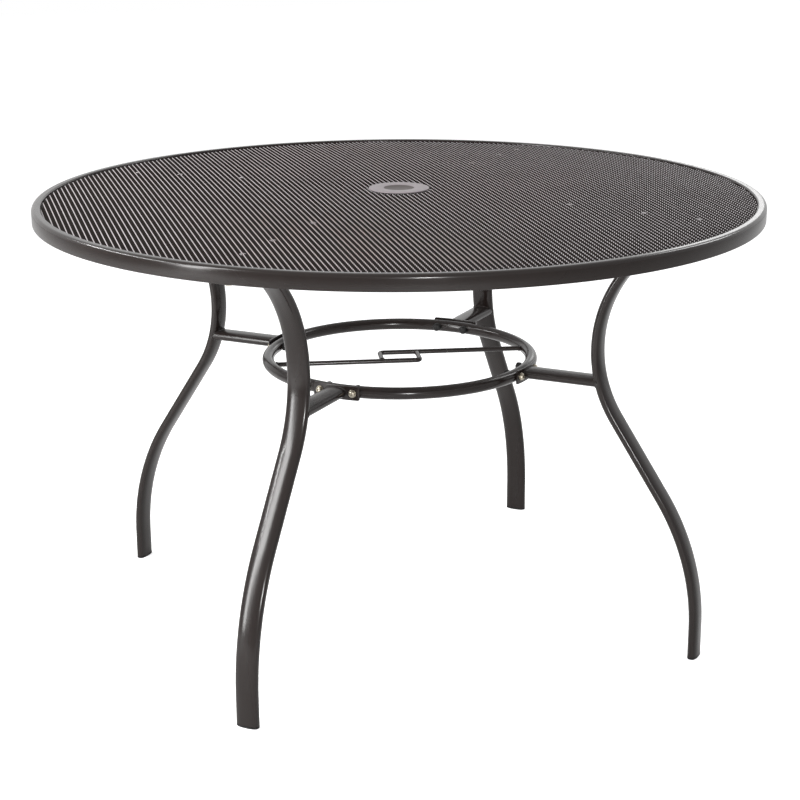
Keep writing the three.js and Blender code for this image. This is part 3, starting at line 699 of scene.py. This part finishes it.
class TABLE_OT_rim(Operator):
    """Rolled rim: rounded shoulders, a flat band, and a ledge and lip that carry the mesh."""
    bl_idname = "table.rim"
    bl_label = "Rim"

    def execute(self, context):
        place = Layout(context.scene)
        top = place.top
        outer, bottom, wall = place.rim_radius, place.rim_bottom, top.rim_wall
        inner = outer - top.rim_width
        outer_round, inner_round = top.rim_outer_round, top.rim_inner_round
        outer_centre = outer - outer_round, place.rim_top - outer_round
        inner_centre = inner + inner_round, place.rim_top - inner_round
        ledge, ledge_top = place.ledge_radius, place.ledge_top
        lip_bottom = ledge_top - top.ledge_lip
        edge = wall / 3
        outline = profile(
            (outer - top.rim_foot_lip, bottom),
            arc(outer - edge, bottom + edge, edge, -90, 0, 3),
            arc(*outer_centre, outer_round, 0, 90, 12),
            arc(*inner_centre, inner_round, 90, 180, 8),
            (inner, ledge_top),
            (ledge, ledge_top),
            (ledge, lip_bottom),
            (ledge + wall, lip_bottom),
            (ledge + wall, ledge_top - wall),
            (inner + wall, ledge_top - wall),
            arc(*inner_centre, inner_round - wall, 180, 90, 4),
            arc(*outer_centre, outer_round - wall, 90, 0, 6),
            (outer - wall, bottom + wall),
            (outer - top.rim_foot_lip, bottom + wall),
        )
        new_piece("rim", lathe(outline, segments=288), DARK_COAT, "top_rim")
        return {"FINISHED"}


class TABLE_OT_mesh(Operator):
    """Expanded metal: zigzag strands side by side, each joined to its neighbours in turn."""
    bl_idname = "table.mesh"
    bl_label = "Mesh"

    def execute(self, context):
        place = Layout(context.scene)
        points, quads, strand = self.strands(place)
        count = place.top.sheet_count
        limits = [strand[i * len(strand) // count] for i in range(1, count)]
        band = np.searchsorted(limits, strand, side="right")
        for number in range(count):
            sheet = points, quads[band == number]
            new_piece(f"mesh_band_{number + 1}", sheet, MESH_COAT, "mesh_panel", smooth_angle=25)
        return {"FINISHED"}

    def strands(self, place):
        """All strands as one surface. Strand k runs along X at Y = k d / 2, where d is the diamond's
        width, and swings by a quarter of d to each side at alternate bonds, half a diamond's length
        apart. Its section is a rectangle tilted about X, and the whole sheet follows the dome."""
        top = place.top
        column, row = top.diamond_length / 2, top.diamond_width / 2
        half_width = top.strand_width / 2
        cosine, sine = math.cos(top.strand_tilt), math.sin(top.strand_tilt)
        edge = place.mesh_radius - GAP
        strand_y, start, end = self.runs(edge, place.sleeve_radius + GAP, row)
        number = math.ceil(edge / column) + 1
        columns = np.repeat(np.arange(-number, number + 1), 2)
        side = np.tile([-0.5, 0.5], 2 * number + 1)
        raw = columns * column + side * top.bond_length
        x = np.clip(raw, start[:, None], end[:, None])
        # How many stations deep each one is past its strand's end, where the section is a point.
        before = np.cumsum((raw < start[:, None])[:, ::-1], axis=1)[:, ::-1]
        after = np.cumsum(raw > end[:, None], axis=1)
        depth = np.maximum(before, after)
        strand = np.round(strand_y / row - 0.5).astype(int)
        swing = np.where((strand[:, None] + columns) % 2 == 0, -1.0, 1.0)
        y = strand_y[:, None] + swing * (row / 2 - half_width * cosine)
        lift = -swing * half_width * sine
        width = np.array([-1, 1, 1, -1]) * half_width
        thick = np.array([-1, -1, 1, 1]) * top.strand_thickness / 2
        size = np.where(depth < 2, 1.0, 0.0)[..., None]
        corner_x = np.repeat(x[..., None], 4, -1)
        corner_y = y[..., None] + (width * cosine - thick * sine) * size
        corner_z = lift[..., None] + (width * sine + thick * cosine) * size
        # The flat ring presses the mesh flatter where it lies on it.
        flattest, recovery = 0.4, 4 * MM
        radius = np.hypot(corner_x, corner_y)
        pressed = np.clip((radius - place.flange_radius) / recovery, flattest, 1)
        rest = top.strand_width * sine + top.strand_thickness * cosine / 2
        height = place.mesh_bottom(radius) + (rest + corner_z) * pressed
        points = turned_z(np.stack([corner_x, corner_y, height], -1), top.mesh_turn)
        _, quads = grid(points.reshape(-1, 4, 3))
        stations = x.shape[1]
        first = np.arange(len(quads)) // 4
        shallow = np.minimum(depth.ravel(), np.roll(depth.ravel(), -1)) < 2
        inside = (first % stations != stations - 1) & shallow[first]
        return points.reshape(-1, 3), quads[inside], first[inside] // stations

    def runs(self, edge, hole, row):
        """Y of each strand with the X where it starts and ends: from edge to edge of the round
        sheet, or in two runs where it meets the hole."""
        count = math.ceil(edge / row)
        strand_y = (np.arange(-count, count) + 0.5) * row
        strand_y = strand_y[np.abs(strand_y) < edge - row]
        far = np.sqrt(edge ** 2 - (np.abs(strand_y) + row / 2) ** 2)
        crossing = np.abs(strand_y) < hole + row / 2
        near = np.sqrt(np.clip((hole + row / 2) ** 2 - strand_y[crossing] ** 2, 0, None))
        y = np.concatenate([strand_y[~crossing], strand_y[crossing], strand_y[crossing]])
        start = np.concatenate([-far[~crossing], -far[crossing], near])
        end = np.concatenate([far[~crossing], -near, far[crossing]])
        order = np.argsort(y, kind="stable")
        return y[order], start[order], end[order]


class TABLE_OT_mesh_welds(Operator):
    """Plug welds that fix the mesh to the braces, ground nearly flush."""
    bl_idname = "table.mesh_welds"
    bl_label = "Mesh welds"

    # From the table's axis, in metres.
    weld_places = (0.3, 0.425, 0.513)

    def execute(self, context):
        place = Layout(context.scene)
        spots = [
            at_angle(moved(self.spot(), distance, place.mesh_bottom(distance)), angle)
            for angle in LEG_ANGLES for distance in self.weld_places
        ]
        new_piece("mesh_welds", joined(spots), WELD_COAT)
        return {"FINISHED"}

    def spot(self):
        """A low dome on a flat base: height h sin a and radius r cos a, where r has three broad waves
        and five lesser ones round it."""
        spot_radius, spot_height, sides = 6 * MM, 2.9 * MM, 24
        rise = np.radians(np.linspace(90, 0, 6))[:, None]
        angle = np.linspace(0, 2 * math.pi, sides, endpoint=False)
        reach = spot_radius * (1 + 0.12 * np.sin(3 * angle) + 0.08 * np.cos(5 * angle)) * np.cos(rise)
        height = spot_height * np.sin(rise)
        dome = np.stack(np.broadcast_arrays(reach * np.cos(angle), reach * np.sin(angle), height), -1)
        return grid(np.concatenate([dome, np.zeros((1, sides, 3))]))


class TABLE_OT_hub(Operator):
    """Flat ring round the umbrella hole, with a sleeve under it."""
    bl_idname = "table.hub"
    bl_label = "Hub"

    def execute(self, context):
        place = Layout(context.scene)
        low, high, outer = place.flange_bottom, place.flange_top, place.flange_radius
        bore = place.cap_radius + GAP
        edge = 1.0 * MM
        outline = profile(
            (bore, low),
            arc(outer - edge / 2, low + edge / 2, edge / 2, -90, 0, 3),
            arc(outer - edge, high - edge, edge, 0, 90, 6),
            arc(bore + edge / 2, high - edge / 2, edge / 2, 90, 180, 4),
        )
        new_piece("hub_ring", lathe(outline, segments=160), HUB_COAT, "umbrella_ring")
        radius, low, edge = place.sleeve_radius, place.sleeve_bottom, 0.6 * MM
        outline = profile(
            arc(radius - SLEEVE_WALL + edge, low + edge, edge, 180, 270, 4),
            arc(radius - edge, low + edge, edge, 270, 360, 4),
            (radius, place.sleeve_top),
            (radius - SLEEVE_WALL, place.sleeve_top),
        )
        new_piece("hub_sleeve", lathe(outline, segments=96), DARK_COAT, "umbrella_sleeve")
        return {"FINISHED"}


class TABLE_OT_cap(Operator):
    """Plastic cap that closes the umbrella hole: a disc with a soft edge and a skirt."""
    bl_idname = "table.cap"
    bl_label = "Cap"

    def execute(self, context):
        place = Layout(context.scene)
        radius, low, high = place.cap_radius, place.cap_bottom, place.cap_top
        disc_bottom = place.sleeve_top + GAP
        skirt = place.sleeve_radius - SLEEVE_WALL - GAP
        wall, edge, dish = 1.5 * MM, 0.8 * MM, 0.3 * MM
        outline = profile(
            (0, disc_bottom),
            (skirt - wall, disc_bottom),
            (skirt - wall, low + edge / 2),
            (skirt - wall / 2, low),
            (skirt, low + edge / 2),
            (skirt, disc_bottom),
            arc(radius - edge / 2, disc_bottom + edge / 2, edge / 2, -90, 0, 3),
            arc(radius - edge, high - edge, edge, 0, 90, 6),
            (radius - 3 * edge, high),
            (radius - 4 * edge, high - dish),
            (0, high - dish),
        )
        cap = lathe(outline, segments=128, closed=False)
        new_piece("umbrella_cap", cap, GREY_PLASTIC, "hole_cap", body="cap")
        return {"FINISHED"}


class TABLE_OT_braces(Operator):
    """Rectangular tubes under the mesh, bent to its dome, welded to sleeve and rim."""
    bl_idname = "table.braces"
    bl_label = "Braces"

    def execute(self, context):
        place = Layout(context.scene)
        width, height, wall = place.legs.brace_width, place.legs.brace_height, place.legs.brace_wall
        x = np.linspace(place.brace_inner, place.brace_outer, 60)
        slope = np.arctan(-2 * place.top.crown * x / place.mesh_radius ** 2)
        stations = np.stack([x, place.brace_top(x) - height / 2, slope], -1)
        outer = rounded_rectangle(width, height, 1.8 * MM)
        inner = rounded_rectangle(width - 2 * wall, height - 2 * wall, 0.5 * MM)
        new_pieces("brace", tube(outer, inner, stations), DARK_COAT, "under_brace")
        return {"FINISHED"}


class TABLE_OT_legs(Operator):
    """Flat-oval tubes bent to an S, from the floor to the braces."""
    bl_idname = "table.legs"
    bl_label = "Legs"

    def execute(self, context):
        place = Layout(context.scene)
        legs = place.legs
        outer = oval(legs.tube_width, legs.tube_thickness)
        inner = oval(legs.tube_width, legs.tube_thickness, legs.tube_wall)
        new_pieces("leg_tube", tube(outer, inner, place.leg_path), DARK_COAT, "leg")
        return {"FINISHED"}


class TABLE_OT_feet(Operator):
    """Black foot caps in the legs' lower ends, and plugs in their upper ends."""
    bl_idname = "table.feet"
    bl_label = "Feet and plugs"

    def execute(self, context):
        place = Layout(context.scene)
        foot = self.end_cap(place, place.leg_base - GAP, 16 * MM, (place.foot_radius, 0, math.pi / 2))
        new_pieces("foot", foot, BLACK_PLASTIC, "foot_cap")
        x, z, heading = place.leg_path[-1]
        plate = 2.5 * MM
        ahead = plate + GAP
        face = x + ahead * math.cos(heading), z + ahead * math.sin(heading), heading + math.pi
        plug = self.end_cap(place, plate, 8 * MM, face)
        new_pieces("leg_plug", plug, BLACK_PLASTIC, "leg_end_plug")
        return {"FINISHED"}

    def end_cap(self, place, plate, depth, path_end):
        """A moulded cap for a tube's end: flat-oval outlines drawn in by the insets of a rounded
        plate and a spigot, at distances from the plate's face back into the tube."""
        legs = place.legs
        edge = 1.2 * MM
        fit = legs.tube_wall + GAP
        middle = legs.tube_thickness / 2
        rows = profile(
            (middle, 0),
            (middle / 2, 0),
            arc(edge, edge, edge, 270, 180, 5),
            (0, plate),
            (fit, plate),
            (fit, plate + depth - edge),
            (fit + edge, plate + depth),
            (middle, plate + depth),
        )
        x, z, heading = path_end
        stations = np.stack(np.broadcast_arrays(
            x + rows[:, 1] * math.cos(heading), z + rows[:, 1] * math.sin(heading), heading,
        ), -1)
        return grid(carried(oval(legs.tube_width, legs.tube_thickness, rows[:, 0]), stations))


class TABLE_OT_struts(Operator):
    """Flat-oval tubes laid flat between saddle plates and legs, coped at both ends."""
    bl_idname = "table.struts"
    bl_label = "Struts"

    def execute(self, context):
        place = Layout(context.scene)
        outer, inner = (self.wall(place, inset) for inset in (0.0, place.legs.tube_wall))
        surface = grid(np.concatenate([outer, inner[::-1]]), wrap_rows=True)
        new_pieces("strut_tube", surface, DARK_COAT, "strut")
        return {"FINISHED"}

    def wall(self, place, inset):
        """Rows of a flat oval at even shares of the way from the plate to the leg."""
        y, z = oval(place.legs.tube_width, place.legs.tube_thickness, inset).T
        start, end = place.strut_ends(y, z)
        share = np.linspace(0, 1, 24)[:, None]
        return np.stack(np.broadcast_arrays(start + (end - start) * share, y, z + place.ring_height), -1)


class TABLE_OT_saddle_plates(Operator):
    """Curved plates that hug the ring, with rounded corners."""
    bl_idname = "table.saddle_plates"
    bl_label = "Saddle plates"

    def execute(self, context):
        place = Layout(context.scene)
        ring = place.ring
        corner, edge = 3 * MM, 0.6 * MM
        flat = ring.saddle_length / 2 - corner
        ends = flat + corner * np.sin(np.radians(np.linspace(0, 90, 10)))
        along = np.concatenate([-ends[::-1], np.linspace(-flat, flat, 30)[1:-1], ends])
        over = np.clip(np.abs(along) - flat, 0, corner)
        height = ring.saddle_height - 2 * (corner - np.sqrt(corner ** 2 - over ** 2))
        sections = rounded_rectangle(ring.saddle_thickness, height, edge)
        centre = np.zeros_like(sections[:1])
        sections = np.concatenate([centre, sections, centre])
        angle = np.concatenate([along[:1], along, along[-1:]])[:, None] / place.saddle_outer
        radius = place.saddle_outer - ring.saddle_thickness / 2 + sections[..., 0]
        shape = (radius * np.cos(angle), radius * np.sin(angle), place.ring_height + sections[..., 1])
        new_pieces("ring_plate", grid(np.stack(shape, -1)), DARK_COAT, "saddle_plate")
        return {"FINISHED"}


class TABLE_OT_ring(Operator):
    """The ring: round tube bent to a circle."""
    bl_idname = "table.ring"
    bl_label = "Ring"

    def execute(self, context):
        place = Layout(context.scene)
        section = arc(place.ring_radius, place.ring_height, place.ring.ring_tube / 2, 0, 360, 36)[:-1]
        new_piece("ring_tube", lathe(section, segments=224), DARK_COAT, "frame_ring")
        return {"FINISHED"}


class TABLE_OT_guide_wires(Operator):
    """Two bent wires whose ends close a loop for the umbrella pole."""
    bl_idname = "table.guide_wires"
    bl_label = "Guide wires"

    def execute(self, context):
        place = Layout(context.scene)
        ring = place.ring
        side, radius, bend = ring.guide_width / 2, ring.wire / 2, ring.wire_bend
        reach = place.ring_radius - ring.ring_tube / 2 + radius / 2
        begin = -math.sqrt(reach ** 2 - side ** 2)
        stations = bent_path(begin, -side, 0, [
            (ring.guide_length / 2 - bend - begin, 0),
            (bend * math.pi / 2, math.pi / 2),
            (ring.guide_width - bend - radius - GAP, 0),
        ], step=1.2 * MM)
        # Both ends are closed at a point, and the one in the loop has a small bevel.
        stations = np.concatenate([stations[:1], stations, stations[-1:]])
        edge = 0.5 * MM
        size = np.full(len(stations), radius)
        size[[0, -1]] = 0
        size[-2] = radius - edge
        stations = np.insert(stations, -2, stations[-1] - (0, edge, 0), axis=0)
        size = np.insert(size, -2, radius)
        unit_circle = arc(0, 0, 1, 0, 360, 18)[:-1]
        points, quads = grid(carried(unit_circle * size[:, None, None], stations))
        wire = outward(points[:, [0, 2, 1]] + (0, 0, place.ring_height), quads)
        new_pieces("pole_wire", wire, DARK_COAT, "guide_wire", place.wire_angles)
        return {"FINISHED"}


class TABLE_OT_ring_bolts(Operator):
    """Button-head bolts with a hex socket, on washers, through plates and ring."""
    bl_idname = "table.ring_bolts"
    bl_label = "Ring bolts"

    def execute(self, context):
        place = Layout(context.scene)
        washer, head = place.ring.washer / 2, place.ring.bolt_head / 2
        # The deck is the washer's thickness, and the crown and brim are the head's.
        edge, deck, crown, brim = 0.3 * MM, 1.2 * MM, 4 * MM, 0.6 * MM
        socket, socket_depth, socket_tip = 2.3 * MM, 2.2 * MM, 2.8 * MM
        top = deck + crown
        dome = [
            (head * (0.5 + 0.5 * math.cos(a)), deck + brim + (crown - brim) * math.sin(a), 0)
            for a in np.radians([0, 20, 40, 55, 68])
        ]
        rows = [
            (0, 0, 0), (washer - edge, 0, 0), (washer, edge, 0), (washer, deck - edge, 0),
            (washer - edge, deck, 0), (head, deck, 0), *dome,
            (socket * 1.35, top, 0), (socket * 1.05, top, 1),
            (socket, top - edge, 1), (socket, top - socket_depth, 1), (0, top - socket_tip, 1),
        ]
        bolt = moved(knob(rows, segments=48), place.saddle_outer + 0.1 * MM, place.ring_height)
        new_pieces("bolt", bolt, ZINC, "ring_bolt", place.bolt_angles)
        return {"FINISHED"}


class TABLE_OT_ring_nuts(Operator):
    """Black domed caps over the nuts on the ring's inner side."""
    bl_idname = "table.ring_nuts"
    bl_label = "Nut caps"

    def execute(self, context):
        place = Layout(context.scene)
        radius, skirt, height, edge = place.ring.nut / 2, 5.0 * MM, 9.0 * MM, 0.4 * MM
        dome = [
            (radius * math.cos(a), -skirt - (height - skirt) * math.sin(a), 0)
            for a in np.radians(np.linspace(0, 90, 9))
        ]
        rows = [(0, 0, 0), (radius - edge, 0, 0), (radius, -edge, 0), *dome]
        seat = place.ring_radius - place.ring.ring_tube / 2 - GAP
        nut = moved(knob(rows, segments=40), seat, place.ring_height)
        new_pieces("nut_cap", nut, BLACK_PLASTIC, "ring_nut", place.bolt_angles)
        return {"FINISHED"}


class TABLE_OT_leg_screws(Operator):
    """Hex-head screws from below, through the legs into the braces."""
    bl_idname = "table.leg_screws"
    bl_label = "Leg screws"

    def execute(self, context):
        head, shank, edge, thick, flange = 5.5 * MM, 3.0 * MM, 0.4 * MM, 3.5 * MM, 1.0 * MM
        for number, angle in enumerate(np.repeat(LEG_ANGLES, 2), 1):
            low, high = turned_box(f"leg_screw_{number}", angle)
            tall = high[2] - low[2]
            rows = [
                (0, 0, 1), (head - 2 * edge, 0, 0), (head - edge, edge, 1),
                (head - edge, thick - flange, 1), (head, thick - flange, 0), (head, thick, 0),
                (shank, thick, 0), (shank, tall - edge, 0), (0, tall, 0),
            ]
            points, quads = knob(rows, segments=36)
            upright = points[:, [2, 1, 0]] + ((low[0] + high[0]) / 2, 0, low[2])
            surface = at_angle(outward(upright, quads), angle)
            new_piece(f"screw_{number}", surface, ZINC, f"leg_screw_{number}")
        return {"FINISHED"}


class TABLE_OT_weld_beads(Operator):
    """Weld beads where struts, braces, sleeve, rim and guide wires join."""
    bl_idname = "table.weld_beads"
    bl_label = "Weld beads"

    def execute(self, context):
        place = Layout(context.scene)
        at_legs, at_wires = self.strut_beads(place) + self.brace_beads(place), self.wire_beads(place)
        beads = [at_angle(surface, angle) for angle in LEG_ANGLES for surface in at_legs]
        beads += [at_angle(surface, angle) for angle in place.wire_angles for surface in at_wires]
        new_piece("weld_beads", joined(beads), DARK_COAT)
        return {"FINISHED"}

    def strut_beads(self, place):
        """Closed beads along the strut's two coped ends."""
        y, z = oval(place.legs.tube_width, place.legs.tube_thickness).T
        lines = [np.stack([x, y, z + place.ring_height], -1) for x in place.strut_ends(y, z)]
        return [bead(resampled(line, 0.5 * MM), BEAD_RADIUS) for line in lines]

    def brace_beads(self, place):
        """Open beads up both sides of a brace, at the sleeve and at the rim's lip."""
        width, height = place.legs.brace_width, place.legs.brace_height
        rise = (np.linspace(0, 1, 40) - 0.5) * (height - 3 * BEAD_RADIUS)
        beads = []
        for x, side in ((place.brace_inner, 1), (place.brace_outer, -1)):
            z = place.brace_top(x) - height / 2 + rise
            for y in (-width / 2, width / 2):
                line = np.stack(np.broadcast_arrays(x + side * BEAD_RADIUS / 2, y, z), -1)
                beads.append(bead(line, BEAD_RADIUS, closed=False))
        return beads

    def wire_beads(self, place):
        """A bead round the wire where it meets the ring, and one where its end meets the other."""
        ring = place.ring
        side, radius = ring.guide_width / 2, ring.wire / 2
        start = -math.sqrt((place.ring_radius - ring.ring_tube / 2) ** 2 - side ** 2)
        angle = np.linspace(0, 2 * math.pi, 40, endpoint=False)
        across, z = radius * np.cos(angle), place.ring_height + radius * np.sin(angle)
        at_ring = np.stack(np.broadcast_arrays(start + radius / 3, -side + across, z), -1)
        at_end = np.stack(np.broadcast_arrays(ring.guide_length / 2 + across, side - radius, z), -1)
        return [bead(at_ring, 1.2 * MM), bead(at_end, 1.1 * MM, about=(0.0, 1.0, 0.0))]


# Stage

LAMPS = (
    # Name, place, the point that it faces, width, height and watts.
    ("left", (-2.85, -0.7, 1.5), (0, 0, 0.6), 0.45, 2.6, 95),
    ("strip", (-2.4, 0.7, 2.05), (-0.45, -0.3, 0.73), 2.3, 0.1, 50),
    ("right", (2.7, 0.7, 2.7), (0, 0, 0.6), 0.5, 1.2, 24),
    ("front", (-0.6, -2.7, 0.9), (0.2, -0.2, 0.45), 0.22, 0.3, 32),
    ("back", (2.1, 2.5, 1.4), (0.5, 0, 0.73), 0.6, 0.35, 1.7),
)


def seen_directly(tree, direct, mirrored, least=0.0):
    """One level for rays from the camera and through clear surfaces, one for rays from glossy
    surfaces, and the least for others."""
    path = add_node(tree, "LightPath")
    level = least
    rays = {"Is Camera Ray": direct, "Is Transmission Ray": direct, "Is Glossy Ray": mirrored}
    for ray, strength in rays.items():
        share = add_node(tree, "Math", {0: path[ray], 1: strength}, operation="MULTIPLY")[0]
        level = add_node(tree, "Math", {0: share, 1: level}, operation="MAXIMUM")[0]
    return level


def pale_floor(tree, place, scene):
    """A matt pale ground, almost white where it is seen, that keeps the table's shadow."""
    return {
        "Base Color": cloudy(tree, place, scene.table_finishes.floor, 400, 0.99, 1.0),
        "Roughness": 0.9,
        "Emission Color": (1, 1, 1, 1),
        "Emission Strength": seen_directly(tree, 0.6, 0.15),
    }


class TABLE_OT_stage(Operator):
    """Pale floor, soft studio light and the camera."""
    bl_idname = "table.stage"
    bl_label = "Stage"

    def execute(self, context):
        scene = context.scene
        scene.view_settings.view_transform = "Standard"
        self.add_camera(scene)
        self.add_floor(scene)
        self.light_world(scene)
        for lamp in LAMPS:
            self.add_lamp(scene, *lamp)
        return {"FINISHED"}

    def add_camera(self, scene):
        """The photograph's view, along (sin t cos p, cos t cos p, -sin p) for turn t and pitch p."""
        stage = scene.table_stage
        camera = bpy.data.cameras.new("camera")
        camera.lens = stage.lens
        camera.sensor_width = 36
        camera.shift_y = stage.shift
        camera.clip_end = 50
        eye = bpy.data.objects.new("camera", camera)
        eye.location = stage.camera_place
        turn, level = stage.camera_turn, math.cos(stage.camera_pitch)
        view = Vector((math.sin(turn) * level, math.cos(turn) * level, -math.sin(stage.camera_pitch)))
        roll = Quaternion((0, 0, 1), stage.camera_roll)
        eye.rotation_euler = (view.to_track_quat("-Z", "Y") @ roll).to_euler()
        scene.collection.objects.link(eye)
        scene.camera = eye

    def add_floor(self, scene):
        """A wide square just under the feet."""
        half, height = 12.0, -0.2 * MM
        mesh = bpy.data.meshes.new("floor")
        corners = [(-half, -half), (half, -half), (half, half), (-half, half)]
        mesh.from_pydata([(x, y, height) for x, y in corners], [], [(0, 1, 2, 3)])
        mesh.materials.append(made(pale_floor))
        floor = bpy.data.objects.new("floor", mesh)
        scene.collection.objects.link(floor)

    def light_world(self, scene):
        """White where it is seen, and a plain soft light elsewhere."""
        world = bpy.data.worlds.new("studio")
        world.use_nodes = True
        tree = world.node_tree
        level = seen_directly(tree, 1.0, 1.0, least=0.45)
        connect(tree, tree.nodes["Background"], {"Color": (1, 1, 1, 1), "Strength": level})
        scene.world = world

    def add_lamp(self, scene, name, place, target, width, height, watts):
        """An oblong soft light that faces a point."""
        light = bpy.data.lights.new(name, "AREA")
        light.shape = "RECTANGLE"
        light.size, light.size_y, light.energy = width, height, watts
        lamp = bpy.data.objects.new(name, light)
        lamp.location = place
        lamp.rotation_euler = (Vector(target) - Vector(place)).to_track_quat("-Z", "Y").to_euler()
        scene.collection.objects.link(lamp)


STEPS = (
    TABLE_OT_stage, TABLE_OT_rim, TABLE_OT_mesh, TABLE_OT_mesh_welds, TABLE_OT_hub, TABLE_OT_cap,
    TABLE_OT_braces, TABLE_OT_legs, TABLE_OT_feet, TABLE_OT_struts, TABLE_OT_saddle_plates,
    TABLE_OT_ring, TABLE_OT_guide_wires, TABLE_OT_ring_bolts, TABLE_OT_ring_nuts,
    TABLE_OT_leg_screws, TABLE_OT_weld_beads,
)
GROUPS = {
    "table_top": TableTopSizes,
    "table_legs": TableLegSizes,
    "table_ring": TableRingSizes,
    "table_finishes": TableFinishes,
    "table_stage": TableStage,
}


class TABLE_PT_panel(Panel):
    """Buttons for the steps, and the sizes and colours."""
    bl_idname = "TABLE_PT_panel"
    bl_label = "Umbrella table"
    bl_space_type = "VIEW_3D"
    bl_region_type = "UI"
    bl_category = "Table"

    def draw(self, context):
        for step in STEPS:
            self.layout.operator(step.bl_idname)
        for group, kind in GROUPS.items():
            box = self.layout.box()
            box.label(text=kind.__doc__)
            for name in kind.__annotations__:
                box.prop(getattr(context.scene, group), name)


def register():
    """Adds the classes and the groups of sizes."""
    for kind in (*GROUPS.values(), *STEPS, TABLE_PT_panel):
        bpy.utils.register_class(kind)
    for group, kind in GROUPS.items():
        setattr(bpy.types.Scene, group, PointerProperty(type=kind))


def unregister():
    """Takes them away again."""
    for group in GROUPS:
        delattr(bpy.types.Scene, group)
    for kind in (TABLE_PT_panel, *reversed(STEPS), *reversed(GROUPS.values())):
        bpy.utils.unregister_class(kind)


def main():
    """Registers the classes and runs the steps in order."""
    register()
    for step in STEPS:
        group, name = step.bl_idname.split(".")
        getattr(getattr(bpy.ops, group), name)()


if __name__ == "__main__":
    main()
